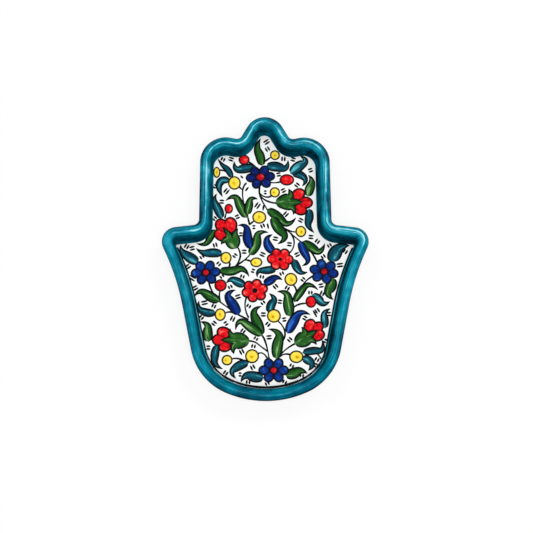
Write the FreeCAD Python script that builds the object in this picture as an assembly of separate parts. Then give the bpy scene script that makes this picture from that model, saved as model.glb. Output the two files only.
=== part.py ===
"""A hand-shaped (hamsa) dish of glazed earthenware with a painted floor.

The clay body carries a turquoise glaze over its rolled rim and wall, and a white glaze on its floor.
The flowers, leaves and berries on the floor are enamels inside black drawn lines.
Millimetres, +Z out of the dish, +Y to the fingertips, origin under the middle of the foot.
"""
import FreeCAD
import Part
import math
import os

from FreeCAD import Vector

# Overall sizes
LENGTH = 181.5              # middle fingertip to wrist
WIDTH = 129.0               # thumb to thumb
HEIGHT = 20.0               # foot to the crest of the rim

# Corner radii of the hand's outline, from the middle finger round to the wrist
TIP_RADIUS = 12.8
NOTCH_RADIUS = 3.6
SHOULDER_RADIUS = 16.4
CROOK_RADIUS = 3.8
THUMB_RADIUS = 9.2
FLARE_RADIUS = 155.0
HEEL_RADIUS = 36.0
WRIST_RADIUS = 62.0
LEAST_RADIUS = 0.6          # what is left of an outer corner on a far inner line
ROUNDED_SHARE = 0.98        # of a side, the most that its two corners may round off

# Directions of the outline, in degrees
TIP_SLOPE = 60.0
WRIST_SLOPE = 21.5
THUMB_FALL = 6.8
THUMB_LEAN = 24.6

# Places of the outline's corners, x of the width and y of the length
NOTCH_X_SHARE = 0.125
SHOULDER_SHARES = (0.317, 0.4455)
CROOK_SHARES = (0.322, 0.1073)
FLARE_Y_SHARE = -0.0792
HEEL_X_SHARE = 0.325

# Wall, rim, floor and foot
ROLL_RADIUS = 3.3           # half round along the rim
FLOOR_TOP = 6.0             # foot to the painted floor
FLOOR_INSET = 8.0           # outline to the floor's edge
FOOT_INSET = 5.0            # outline to the foot
FOOT_WIDTH = 6.0
FOOT_DEPTH = 1.5            # recess inside the foot ring
GLAZE = 0.5                 # thickness of the fired glaze
GLAZE_STOP = 62.0           # degrees round the side at which the glaze ends above the foot
SIDE_STEPS = 4
ROLL_STEPS = 8

# Painting
LINE_HEIGHT = 0.15          # black lines stand a little above the enamels
ENAMEL_HEIGHT = 0.12
LINE_WIDTH = 0.85           # outlines of leaves and flowers
POINT_WIDTH = 0.2           # enamel at the two ends of a leaf
LEAST_MARK = 0.35            # area of the smallest mark that a brush leaves, in square millimetres
STEM_WIDTH = 0.9
DASH_WIDTH = 1.0
DASH_GAP = 1.7              # between the middles of the two dashes of a pair
EDGE_LINE_WIDTH = 0.9       # black line round the floor
EDGE_LINE_INSET = 0.2       # from the floor's edge to that line
EDGE_LINE_TOP_SHARE = 0.04  # of the length, the height at which that line ends below the thumbs
FIELD_GAP = 0.1             # from that line to the nearest motif

# The pattern is drawn on squares, of which the hand is this many wide and long
SQUARES_WIDE = 100.0
SQUARES_LONG = 140.7
MIDDLE_RISE = 0.58          # squares from the middle of the outline up to the middle of the pattern

# Leaves: four points from the base to the end of the tail, and the half width, all in squares
GREEN_LEAF_SHARES = {
    "fingers": [
        ((-1.4, 47.6), (-2.2, 52.2), (-3.6, 56.6), (-2.2, 61.2), 2.55),
        ((-8.6, 22.2), (-7.9, 26.4), (-6.8, 30.0), (-3.6, 30.0), 1.9),
        ((-9.2, 20.6), (-11.9, 26.0), (-14.6, 31.0), (-19.2, 29.2), 2.1),
        ((3.9, 20.8), (6.3, 15.6), (9.7, 10.8), (6.2, 7.1), 2.3),
        ((1.4, 24.6), (5.6, 21.6), (10.6, 17.4), (15.2, 20.4), 2.15),
        ((21.4, 31.6), (22.2, 35.0), (23.4, 39.2), (21.8, 42.5), 2.1),
    ],
    "palm": [
        ((-24.6, 14.2), (-26.6, 10.6), (-29.0, 7.2), (-33.4, 7.2), 1.6),
        ((-7.4, 1.7), (-4.3, 7.0), (-3.2, 12.2), (1.6, 12.9), 2.15),
        ((-22.0, -6.1), (-16.8, -6.7), (-11.4, -5.6), (-7.9, -9.3), 2.05),
        ((18.6, 8.2), (22.2, 5.7), (26.4, 3.3), (29.3, 7.2), 2.1),
        ((32.8, -10.2), (32.1, -13.8), (30.5, -17.6), (32.9, -20.8), 2.4),
        ((14.2, -21.8), (16.7, -17.6), (20.6, -13.6), (25.6, -16.0), 1.75),
        ((11.8, -29.0), (11.2, -23.4), (10.4, -18.2), (5.9, -16.9), 2.35),
        ((-22.4, -21.7), (-26.6, -19.4), (-31.0, -16.9), (-34.2, -19.2), 2.2),
        ((-27.4, -41.4), (-27.8, -37.4), (-28.0, -33.6), (-31.1, -31.8), 2.2),
        ((-1.8, -38.4), (-6.6, -34.9), (-12.0, -31.6), (-14.4, -35.7), 2.1),
        ((-1.8, -38.3), (-3.9, -32.6), (-5.5, -27.0), (-1.9, -24.2), 2.35),
        ((5.2, -49.7), (5.6, -44.0), (6.4, -38.0), (1.5, -35.4), 2.4),
        ((9.6, -57.6), (13.0, -57.0), (16.4, -55.7), (19.8, -56.9), 2.4),
    ],
}
TEAL_LEAF_SHARES = {
    "fingers": [
        ((-16.4, 41.2), (-18.2, 45.0), (-20.9, 47.6), (-23.2, 50.7), 1.45),
        ((-17.6, 39.2), (-21.0, 39.6), (-22.7, 36.6), (-21.0, 31.3), 1.8),
        ((-21.2, 20.2), (-23.0, 24.6), (-24.8, 29.0), (-23.8, 32.6), 2.0),
        ((1.0, 47.0), (5.6, 46.9), (10.2, 46.2), (11.7, 50.1), 2.3),
        ((-5.4, 46.6), (-9.4, 45.9), (-13.8, 45.5), (-15.1, 49.4), 2.2),
        ((13.0, 43.4), (16.8, 46.8), (20.3, 49.8), (17.8, 52.5), 2.4),
        ((13.8, 43.0), (17.8, 42.6), (20.2, 40.0), (18.7, 36.8), 1.85),
        ((22.0, 24.8), (21.9, 20.6), (21.4, 16.6), (24.1, 12.9), 1.9),
    ],
    "palm": [
        ((-21.2, 2.0), (-24.8, 2.5), (-29.8, 2.5), (-33.6, 4.7), 2.05),
        ((-32.6, -2.2), (-36.2, -0.2), (-40.2, 3.0), (-41.2, 6.4), 2.3),
        ((5.2, -5.6), (1.2, -6.2), (-3.0, -6.7), (-3.8, -9.6), 1.8),
        ((14.2, -0.8), (15.1, -4.2), (17.3, -7.2), (20.6, -7.1), 1.85),
        ((33.0, -2.0), (34.0, 1.8), (36.8, 5.2), (41.4, 6.2), 2.95),
        ((2.0, -27.2), (2.7, -23.8), (4.2, -20.6), (1.9, -17.9), 1.95),
        ((-10.0, -13.8), (-13.0, -12.3), (-16.2, -10.9), (-18.8, -12.6), 2.0),
        ((-24.2, -27.2), (-28.2, -27.3), (-31.8, -25.4), (-32.1, -21.6), 1.85),
        ((22.8, -18.6), (25.4, -20.4), (28.0, -22.8), (31.2, -21.8), 2.0),
        ((28.7, -34.8), (28.6, -31.4), (28.6, -27.6), (31.4, -25.4), 1.8),
        ((18.0, -46.8), (22.6, -46.0), (27.0, -45.4), (27.2, -40.8), 1.75),
        ((17.6, -49.8), (20.6, -50.7), (22.1, -52.9), (20.4, -55.5), 1.9),
        ((-1.2, -59.0), (-5.0, -58.6), (-9.2, -58.0), (-11.8, -60.9), 2.35),
        ((-8.4, -51.8), (-12.6, -53.2), (-16.0, -56.0), (-14.3, -59.2), 2.0),
        ((-23.2, -43.4), (-24.3, -47.8), (-24.1, -52.0), (-20.6, -54.7), 1.85),
    ],
}
BLUE_LEAF_SHARES = {
    "palm": [
        ((-6.9, 4.9), (-8.5, 9.6), (-9.2, 15.4), (-13.1, 16.4), 2.15),
        ((4.6, 3.0), (1.7, 5.8), (1.0, 9.6), (3.6, 11.7), 2.0),
        ((17.3, 8.3), (18.7, 4.0), (20.9, -1.2), (18.1, -3.9), 1.9),
        ((-0.4, -13.2), (2.4, -11.4), (5.2, -9.9), (8.2, -11.0), 1.9),
        ((-12.8, -28.1), (-15.6, -23.6), (-18.1, -18.8), (-14.5, -16.1), 2.3),
        ((10.8, -37.4), (13.2, -32.2), (16.6, -27.6), (21.5, -28.3), 2.25),
    ],
}
LEAF_SPREAD = 1.2           # how much wider the brush spreads each leaf than its table says
LEAF_BODY_SHARE = 0.9       # how far along the leaf swells, the rest being its drawn tail
LEAF_PEAK_SHARE = 0.42      # where along the swelling it is widest
LEAF_FULLNESS = 0.9         # power of the sine that it swells by
LEAF_ENAMEL_SHARES = (0.05, 0.88)
TONGUE_ENAMEL_SHARES = (0.07, 0.93)
RIBBON_STATIONS = 8

# Berries: centre and the two radii, in squares
YELLOW_BERRY_SHARES = [
    (-24.1, 43.8, 1.6, 2.8), (-15.0, 38.3, 3.2, 3.55), (5.2, 52.9, 2.5, 2.6), (5.0, 33.5, 2.6, 2.7),
    (-2.75, 20.6, 3.5, 3.3), (17.65, 13.4, 2.7, 2.9), (-19.1, 0.0, 2.8, 3.05), (-4.3, -2.25, 3.0, 2.5),
    (12.5, -10.8, 3.2, 3.3), (-21.8, -28.3, 2.75, 3.15), (4.1, -28.9, 3.4, 3.4), (-6.5, -48.6, 3.35, 3.45),
    (14.7, -48.9, 3.5, 3.1), (-18.45, -50.5, 2.65, 2.6),
]
RED_BERRY_SHARES = [
    (-10.2, 50.4, 2.55, 2.5), (11.0, 40.0, 3.6, 2.95), (-17.8, 25.0, 1.9, 2.4), (-21.7, -13.8, 3.05, 3.1),
    (22.1, -21.9, 2.7, 3.05),
]

# Six-petalled flowers: centre in squares and turn in degrees
BLUE_FLOWER_SHARES = {
    "top": (-2.1, 41.4, 6.0),
    "left": (-28.9, -7.4, 5.0),
    "right": (28.7, -6.8, -15.0),
    "bottom": (3.8, -55.4, 0.0),
}
ROSETTE_SHARES = {
    "upper": (7.4, -0.7, -3.0),
    "lower": (-5.1, -16.4, 16.0),
}
PETALS = 6
FLOWER_RING_SHARES = (4.4, 3.8)         # flower's middle to the petals' middles, across and up
FLOWER_PETAL_SHARES = (2.65, 2.35)      # half length and half width of a petal
FLOWER_HEART_SHARE = 2.1
FLOWER_EYE_SHARE = 1.4
ROSETTE_RING_SHARES = (4.0, 3.4)
ROSETTE_PETAL_SHARE = 2.65
ROSETTE_HEART_SHARE = 3.6
ROSETTE_EYE_SHARE = 1.25

# Carnations: three round petals with their radii, then two lobes and a tongue as leaves, in squares
CARNATION_SHARES = {
    "upper_right": (
        [(17.4, 33.0, 2.9), (21.3, 28.2, 3.0), (18.2, 24.3, 2.9)],
        [((5.6, 28.0), (9.4, 29.6), (12.8, 32.0), (12.0, 35.2), 2.0),
         ((5.6, 28.0), (9.6, 26.9), (13.6, 25.2), (14.2, 22.4), 1.9),
         ((8.6, 28.1), (12.0, 28.2), (15.6, 28.4), (19.2, 28.5), 1.7)],
    ),
    "upper_left": (
        [(-17.0, 17.6, 2.9), (-21.9, 17.4, 2.7), (-22.2, 11.7, 2.6)],
        [((-14.4, 4.8), (-13.9, 8.8), (-14.6, 12.0), (-13.0, 14.6), 1.7),
         ((-14.4, 4.8), (-16.8, 7.2), (-19.4, 8.4), (-21.6, 7.0), 1.7),
         ((-15.8, 7.4), (-17.2, 10.2), (-18.9, 13.1), (-20.8, 15.8), 1.4)],
    ),
    "lower_left": (
        [(-20.8, -36.9, 3.0), (-23.4, -40.6, 2.9), (-20.1, -44.1, 2.7)],
        [((-8.0, -41.2), (-12.4, -39.4), (-16.4, -38.4), (-17.0, -35.4), 2.1),
         ((-8.0, -41.3), (-12.2, -42.0), (-15.6, -43.8), (-15.2, -47.4), 2.1),
         ((-11.0, -40.9), (-14.6, -40.8), (-18.2, -40.7), (-21.8, -40.7), 1.6)],
    ),
    "lower_right": (
        [(21.8, -32.9, 2.8), (26.0, -33.8, 2.6), (25.8, -38.1, 3.0)],
        [((14.2, -42.0), (16.7, -39.4), (18.4, -36.8), (16.9, -33.9), 2.0),
         ((14.2, -42.0), (17.8, -41.4), (21.4, -40.4), (24.0, -42.4), 2.0),
         ((16.6, -40.4), (19.4, -38.5), (22.2, -36.6), (25.1, -34.7), 1.7)],
    ),
}
CARNATION_PETAL_SHARES = (1.32, 1.08, 0.13)  # half length and width, of its radius, and shift to the cup
CUP_PLACE_SHARE = 0.4                    # where the petals spread from, of the calyx's length
CUP_SHARES = (0.7, 0.21)                # reach and half width of the calyx's cup, of the calyx's length

# Stems, in squares
STEM_SHARES = [
    ((-23.0, 44.3), (-21.4, 45.0), (-19.0, 44.0)),
    ((-12.6, 36.2), (-11.0, 34.8)),
    ((-9.2, 38.2), (-10.9, 34.6), (-10.6, 29.0), (-9.0, 23.6)),
    ((-19.0, 23.0), (-19.7, 20.2)),
    ((-8.7, 22.0), (-7.6, 17.0)),
    ((-5.4, 18.8), (-7.6, 16.8)),
    ((0.2, 49.6), (2.9, 51.7)),
    ((-7.8, 49.2), (-5.4, 47.6), (-3.2, 45.4)),
    ((-2.5, 36.0), (-2.1, 31.0), (1.4, 24.2), (4.2, 20.0)),
    ((4.0, 20.2), (8.6, 16.0), (13.8, 11.4), (18.4, 7.4), (22.6, 3.0), (25.2, -1.8)),
    ((-2.3, 32.8), (-0.2, 31.3), (2.0, 31.1), (3.4, 32.0)),
    ((-2.2, 32.0), (0.6, 29.3), (5.9, 27.8)),
    ((-0.5, 26.8), (-0.9, 24.4)),
    ((9.6, 15.0), (12.2, 13.7), (15.4, 13.1)),
    ((12.6, 12.6), (14.2, 9.0), (13.8, 5.2), (11.4, 2.0)),
    ((2.0, 39.0), (4.6, 38.5), (7.9, 39.0)),
    ((-7.2, 2.2), (-9.6, -0.7), (-14.2, -3.9)),
    ((-10.0, -1.1), (-8.4, -1.2), (-6.9, -1.8)),
    ((-13.4, 5.4), (-12.1, 1.6), (-12.8, -1.6), (-14.4, -4.2)),
    ((-17.6, -2.2), (-17.3, -3.8), (-18.8, -5.9)),
    ((-23.2, -6.4), (-21.0, -6.2)),
    ((-9.0, -19.4), (-9.8, -24.4), (-8.2, -29.6)),
    ((-22.4, -21.6), (-18.4, -24.6), (-13.6, -28.0), (-8.4, -30.6)),
    ((-21.9, -16.6), (-22.3, -19.2), (-21.8, -22.0)),
    ((-19.3, -27.4), (-17.0, -27.0), (-14.4, -27.8)),
    ((-27.4, -12.0), (-26.4, -15.4), (-24.6, -18.4)),
    ((-1.6, -38.6), (0.2, -42.6), (1.7, -50.0)),
    ((-8.4, -41.2), (-5.0, -41.8), (-1.8, -44.2), (0.9, -46.2)),
    ((-3.4, -47.3), (-1.2, -47.3), (1.0, -50.0)),
    ((6.2, -31.6), (8.6, -34.6), (9.4, -38.0), (8.0, -41.4)),
    ((13.0, -25.4), (15.8, -23.4), (19.7, -22.7)),
    ((13.6, -13.6), (15.1, -16.4), (14.6, -20.4)),
    ((24.4, -8.4), (21.0, -10.6), (18.6, -12.9)),
    ((24.6, -47.0), (26.0, -49.0), (26.4, -49.8)),
    ((5.8, -50.2), (9.2, -45.8), (14.8, -42.2)),
    ((7.0, -48.8), (9.2, -47.6), (11.8, -47.9)),
    ((-16.2, -50.0), (-13.4, -49.7), (-10.0, -51.0)),
]

# Pairs of short dashes: middle in squares, lean in degrees, length in squares
DASH_PAIR_SHARES = [
    (-20.7, 50.7, 65, 1.4), (-16.6, 50.7, -18, 1.9), (-24.6, 36.5, -35, 1.2), (-18.9, 34.1, 52, 2.2),
    (-21.2, 28.6, -5, 1.7), (-13.5, 20.9, 25, 1.6), (-24.7, 19.9, -40, 1.3), (1.1, 59.9, 35, 2.2),
    (1.5, 56.0, -60, 1.8), (9.4, 51.0, 88, 1.8), (14.3, 50.7, -15, 1.8), (7.0, 42.8, 10, 1.6),
    (16.1, 37.3, -40, 1.7), (22.9, 45.1, 20, 1.7), (0.3, 33.5, 0, 0.9), (9.3, 34.5, 30, 1.7),
    (-3.6, 26.7, 55, 2.4), (10.4, 22.3, 48, 2.0), (17.7, 19.1, -28, 1.8), (-5.4, 15.6, 0, 1.0),
    (-1.1, 16.2, -65, 1.5), (-11.8, 11.9, 0, 1.2), (-10.15, 3.1, 0, 1.7), (-14.7, 1.1, -40, 1.4),
    (-1.2, 1.75, -25, 2.0), (5.2, 9.7, -12, 1.9), (-5.9, -6.5, -20, 1.2), (-11.1, -9.3, 70, 1.2),
    (-1.6, -9.5, 80, 1.2), (-21.0, -9.4, -50, 1.2), (8.1, -7.9, -65, 1.3), (12.0, 6.9, -5, 1.8),
    (15.7, 1.7, 28, 1.8), (22.6, 10.6, -5, 1.8), (25.7, 8.4, 52, 1.7), (28.5, 0.6, -55, 1.5),
    (18.4, -10.8, -40, 1.3), (31.6, 6.3, -60, 1.3), (39.3, 3.3, 55, 1.7), (36.6, -3.6, 8, 2.4),
    (-38.3, 5.8, 60, 1.8), (-35.6, 4.8, 15, 1.9), (-30.8, 0.4, -55, 1.3), (-37.6, -4.4, 40, 2.0),
    (-35.4, -10.2, -30, 2.6), (-22.6, -3.0, 45, 1.3), (-24.4, 6.4, -72, 1.6), (-34.0, -15.1, 30, 2.0),
    (-29.4, -22.4, 12, 2.3), (-24.9, -24.0, 62, 1.5), (-17.0, -14.6, -65, 1.3), (-13.2, -19.4, 18, 2.0),
    (-30.8, -29.6, 50, 1.5), (-24.7, -32.6, -38, 1.6), (-19.0, -32.6, 35, 1.3), (-15.8, -30.3, 65, 2.0),
    (5.0, -14.4, -50, 1.8), (10.7, -15.1, 58, 1.6), (7.1, -21.9, -10, 1.5), (-1.1, -22.5, -50, 1.2),
    (-8.0, -24.0, 60, 1.3), (-0.95, -28.2, 0, 1.8), (1.2, -33.0, 50, 1.6), (9.1, -30.7, 10, 1.4),
    (-10.8, -36.3, 55, 1.6), (27.2, -13.85, 10, 1.8), (21.9, -17.4, -88, 1.3), (27.7, -17.7, 65, 1.8),
    (25.1, -26.4, -58, 1.8), (30.8, -28.0, 5, 1.4), (19.1, -30.0, -28, 1.5), (-27.4, -44.4, 0, 1.4),
    (-11.4, -46.5, -62, 1.9), (-19.1, -56.6, 55, 1.6), (-12.2, -57.4, 0, 1.0), (-4.6, -40.0, 55, 1.2),
    (1.75, -39.4, 5, 1.9), (-5.8, -43.7, 80, 1.3), (-6.2, -54.0, -62, 1.7), (11.7, -40.6, -42, 1.6),
    (12.5, -53.2, 60, 1.2), (-8.4, -61.0, 85, 1.3), (0.7, -61.8, -65, 1.2), (9.0, -61.0, 62, 1.3),
    (28.7, -41.2, -35, 1.1), (17.2, -57.9, 80, 1.2), (23.9, -53.0, -45, 1.1), (24.6, -50.2, 60, 1.4),
]
LONE_DASH_SHARES = [(-11.3, 41.4, -50, 1.3), (-8.8, 35.2, 55, 1.9), (1.5, 16.1, -78, 2.0), (24.0, -27.9, -62, 2.8)]

SQUARE = min(WIDTH / SQUARES_WIDE, LENGTH / SQUARES_LONG)


def half_outline():
    """Corners of the right half of the hand, tip to wrist: (point, radius, 1 for outer or -1 for inner)."""
    tip_slope = math.radians(TIP_SLOPE)
    wrist_slope = math.radians(WRIST_SLOPE)
    fall = math.radians(THUMB_FALL)
    lean = math.radians(THUMB_LEAN)
    tip_y = LENGTH / 2 + TIP_RADIUS * (1 / math.cos(tip_slope) - 1)
    notch_x = NOTCH_X_SHARE * WIDTH
    crook = Vector(CROOK_SHARES[0] * WIDTH, CROOK_SHARES[1] * LENGTH, 0)
    upper = Vector(-math.sin(fall), -math.cos(fall), 0)
    side = Vector(-math.cos(lean), math.sin(lean), 0)
    spread = THUMB_RADIUS / (1 + upper.dot(side))
    thumb_x = WIDTH / 2 - THUMB_RADIUS - (upper.x + side.x) * spread
    thumb_y = crook.y - (thumb_x - crook.x) * math.tan(fall)
    flare_y = FLARE_Y_SHARE * LENGTH
    wrist_y = -LENGTH / 2 - WRIST_RADIUS * (1 / math.cos(wrist_slope) - 1)
    heel_x = HEEL_X_SHARE * WIDTH
    return [
        (Vector(0, tip_y, 0), TIP_RADIUS, 1),
        (Vector(notch_x, tip_y - notch_x * math.tan(tip_slope), 0), NOTCH_RADIUS, -1),
        (Vector(SHOULDER_SHARES[0] * WIDTH, SHOULDER_SHARES[1] * LENGTH, 0), SHOULDER_RADIUS, 1),
        (crook, CROOK_RADIUS, -1),
        (Vector(thumb_x, thumb_y, 0), THUMB_RADIUS, 1),
        (Vector(thumb_x - (thumb_y - flare_y) * math.tan(lean), flare_y, 0), FLARE_RADIUS, -1),
        (Vector(heel_x, wrist_y + heel_x * math.tan(wrist_slope), 0), HEEL_RADIUS, 1),
        (Vector(0, wrist_y, 0), WRIST_RADIUS, 1),
    ]


def hand_wire(inset, height):
    """The hand's outline moved inwards by inset, as one wire of lines and arcs at this height."""
    right = half_outline()
    left = [(Vector(-point.x, point.y, 0), radius, sign) for point, radius, sign in reversed(right[1:-1])]
    ring = right + left
    corners = []
    for place, (point, radius, sign) in enumerate(ring):
        before = (point - ring[place - 1][0]).normalize()
        after = (ring[(place + 1) % len(ring)][0] - point).normalize()
        inwards = Vector(before.y + after.y, -before.x - after.x, 0) / (1 + before.dot(after))
        half_turn = math.acos(before.dot(after)) / 2
        reach = max(radius - sign * inset, LEAST_RADIUS) * math.tan(half_turn)
        corners.append((point + inwards * inset + Vector(0, 0, height), before, after, half_turn, reach))
    arcs = []
    for place, (corner, before, after, half_turn, reach) in enumerate(corners):
        for other in (corners[place - 1], corners[(place + 1) % len(corners)]):
            side = (corner - other[0]).Length
            reach = min(reach, ROUNDED_SHARE * side * corners[place][4] / (corners[place][4] + other[4]))
        start = corner - before * reach
        end = corner + after * reach
        depth = reach * (1 - math.cos(half_turn)) / math.sin(half_turn)
        middle = corner + ((start + end) / 2 - corner).normalize() * depth
        arcs.append((start, middle, end))
    edges = []
    for place, (start, middle, end) in enumerate(arcs):
        edges.append(Part.Arc(start, middle, end).toShape())
        edges.append(Part.LineSegment(end, arcs[(place + 1) % len(arcs)][0]).toShape())
    return Part.Wire(edges)


def wall_stations(cover):
    """(inset, height) from the glaze's lower edge over the rim to the floor's edge, cover under the glaze."""
    roll_height = HEIGHT - ROLL_RADIUS
    roll = ROLL_RADIUS - cover
    stations = []
    for step in range(SIDE_STEPS + 1):
        turn = math.radians(GLAZE_STOP) * (1 - step / SIDE_STEPS)
        stations.append((FOOT_INSET - (FOOT_INSET - cover) * math.cos(turn), roll_height * (1 - math.sin(turn))))
    for step in range(1, ROLL_STEPS + 1):
        turn = math.pi * step / ROLL_STEPS
        stations.append((ROLL_RADIUS - roll * math.cos(turn), roll_height + roll * math.sin(turn)))
    stations.append((FLOOR_INSET - cover, FLOOR_TOP - cover))
    return stations


def bands(wires):
    """Ruled faces between each wire and the next."""
    faces = []
    for lower, upper in zip(wires, wires[1:]):
        faces += Part.makeLoft([lower, upper], False, True).Faces
    return faces


def closed_solid(faces):
    """One solid, turned the right way out, from faces that close."""
    shell = Part.makeShell(faces)
    shell.sewShape()
    solid = Part.makeSolid(shell)
    if solid.Volume < 0:
        solid.reverse()
    return solid


def clay_body():
    """Bisque clay: foot ring, outer wall, rim and floor, without its coats."""
    foot_end = FOOT_INSET + FOOT_WIDTH
    recess = [hand_wire(foot_end + FOOT_DEPTH, FOOT_DEPTH), hand_wire(foot_end, 0)]
    wall = [hand_wire(inset, height) for inset, height in [(FOOT_INSET, 0)] + wall_stations(GLAZE)]
    foot = Part.makeFace([wall[0], recess[1]], "Part::FaceMakerBullseye")
    return closed_solid(bands(recess) + bands(wall) + foot.Faces + [Part.Face(recess[0]), Part.Face(wall[-1])])


def rim_glaze():
    """Turquoise coat over the outer wall, the rolled rim and the inner wall."""
    outside = [hand_wire(inset, height) for inset, height in wall_stations(0)]
    inside = [hand_wire(inset, height) for inset, height in wall_stations(GLAZE)]
    return closed_solid(bands(outside + inside[::-1] + outside[:1]))


def floor_glaze():
    """White coat on the floor, inside the foot of the inner wall."""
    low = hand_wire(FLOOR_INSET - GLAZE, FLOOR_TOP - GLAZE)
    high = hand_wire(FLOOR_INSET, FLOOR_TOP)
    return closed_solid(bands([low, high]) + [Part.Face(low), Part.Face(high)])


def spot(x_share, y_share):
    """A place on the painted floor from its squares."""
    return Vector(x_share * SQUARE, (y_share + MIDDLE_RISE) * SQUARE, FLOOR_TOP)


def curve_through(points):
    """One edge on a smooth curve through the points."""
    curve = Part.BSplineCurve()
    curve.interpolate(points)
    return curve.toShape()


def ribbon(points, half_width, span=(0.0, 1.0)):
    """A face with round ends along a smooth curve, half_width(share of the way) to each side, over the span."""
    edge = curve_through(points)
    stations = []
    for station in range(RIBBON_STATIONS):
        share = span[0] + (span[1] - span[0]) * station / (RIBBON_STATIONS - 1)
        parameter = edge.getParameterByLength(share * edge.Length)
        along = edge.tangentAt(parameter) * half_width(share)
        stations.append((edge.valueAt(parameter), along, Vector(-along.y, along.x, 0)))
    left = [middle + aside for middle, along, aside in stations]
    right = [middle - aside for middle, along, aside in reversed(stations)]
    first = stations[0][0] - stations[0][1]
    last = stations[-1][0] + stations[-1][1]
    outline = [
        curve_through(left),
        Part.Arc(left[-1], last, right[0]).toShape(),
        curve_through(right),
        Part.Arc(right[-1], first, left[0]).toShape(),
    ]
    return Part.Face(Part.Wire(outline))


def leaf(places, half_share, body=LEAF_BODY_SHARE, span=LEAF_ENAMEL_SHARES):
    """A leaf's whole shape, which swells as a sine and ends in a drawn tail, and its enamel inside the line."""
    tail = STEM_WIDTH / 2
    swelling = half_share * LEAF_SPREAD * SQUARE - tail
    power = math.log(0.5) / math.log(LEAF_PEAK_SHARE)
    points = [spot(*place) for place in places]

    def whole_width(share):
        return tail + swelling * max(math.sin(math.pi * min(share / body, 1) ** power), 0) ** LEAF_FULLNESS

    def enamel_width(share):
        return max(whole_width(share) - LINE_WIDTH, POINT_WIDTH / 2)

    return ribbon(points, whole_width), ribbon(points, enamel_width, span)


def oval(middle, across, up, lean=0.0):
    """An oval face with these half sizes, leaning by this many degrees."""
    if across >= up:
        round_edge = Part.Ellipse(middle, across, up).toShape()
    else:
        round_edge = Part.Ellipse(middle, up, across).toShape()
        round_edge.rotate(middle, Vector(0, 0, 1), 90)
    face = Part.Face(Part.Wire([round_edge]))
    face.rotate(middle, Vector(0, 0, 1), lean)
    return face


def joined(faces):
    """Overlapping faces as one, bounded by those edges of their pieces that no two pieces share."""
    shared = {}
    for piece in faces[0].multiFuse(faces[1:]).Faces:
        for edge in piece.Edges:
            shared.setdefault(edge.hashCode(), []).append(edge)
    bounds = [edges[0] for edges in shared.values() if len(edges) == 1]
    wires = [Part.Wire(edges) for edges in Part.sortEdges(bounds)]
    return Part.makeFace(wires, "Part::FaceMakerBullseye")


def petal_ring(middle, turn, ring_shares, long_half, wide_half):
    """Ovals round a flower's middle, their long way outwards."""
    petals = []
    for petal in range(PETALS):
        lean = turn + 360 * petal / PETALS
        way = math.radians(lean)
        place = middle + Vector(ring_shares[0] * SQUARE * math.cos(way), ring_shares[1] * SQUARE * math.sin(way), 0)
        petals.append(oval(place, long_half, wide_half, lean))
    return petals


def blue_flower(name, x_share, y_share, turn):
    """Black outline, blue petals and red eye of a six-petalled flower."""
    middle = spot(x_share, y_share)
    long_half = FLOWER_PETAL_SHARES[0] * SQUARE
    wide_half = FLOWER_PETAL_SHARES[1] * SQUARE
    heart = oval(middle, FLOWER_HEART_SHARE * SQUARE, FLOWER_HEART_SHARE * SQUARE)
    eye = oval(middle, FLOWER_EYE_SHARE * SQUARE, FLOWER_EYE_SHARE * SQUARE)
    whole = joined(petal_ring(middle, turn, FLOWER_RING_SHARES, long_half, wide_half) + [heart])
    inner = petal_ring(middle, turn, FLOWER_RING_SHARES, long_half - LINE_WIDTH, wide_half - LINE_WIDTH)
    enamels = [("blue_flower_" + name, petal.cut(heart)) for petal in inner]
    return "flower_lines", whole, enamels + [("blue_flower_eyes", eye)]


def red_rosette(name, x_share, y_share, turn):
    """Black outline, one red field and dark eye of a rosette."""
    middle = spot(x_share, y_share)
    half = ROSETTE_PETAL_SHARE * SQUARE
    heart = ROSETTE_HEART_SHARE * SQUARE
    eye = oval(middle, ROSETTE_EYE_SHARE * SQUARE, ROSETTE_EYE_SHARE * SQUARE)
    whole = joined(petal_ring(middle, turn, ROSETTE_RING_SHARES, half, half) + [oval(middle, heart, heart)])
    inner = petal_ring(middle, turn, ROSETTE_RING_SHARES, half - LINE_WIDTH, half - LINE_WIDTH)
    field = joined(inner + [oval(middle, heart - LINE_WIDTH, heart - LINE_WIDTH)]).cut(eye)
    return "flower_lines", whole, [("red_rosette_" + name, field), ("rosette_eyes", eye)]


def carnation_petals(name, petals, calyx):
    """Outline and red field of a carnation's three petals, which spread from the calyx's cup."""
    base = spot(*calyx[0][0])
    cup = base + (spot(*calyx[2][3]) - base) * CUP_PLACE_SHARE
    long_share, wide_share, shift = CARNATION_PETAL_SHARES
    wholes = []
    fields = []
    for x_share, y_share, radius_share in petals:
        out = spot(x_share, y_share) - cup
        middle = spot(x_share, y_share) - out * shift
        lean = math.degrees(math.atan2(out.y, out.x))
        long_half = radius_share * long_share * SQUARE
        wide_half = radius_share * wide_share * SQUARE
        wholes.append(oval(middle, long_half, wide_half, lean))
        fields.append(oval(middle, long_half - LINE_WIDTH, wide_half - LINE_WIDTH, lean))
    return "flower_lines", joined(wholes), [("carnation_petals_" + name, joined(fields))]


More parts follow.
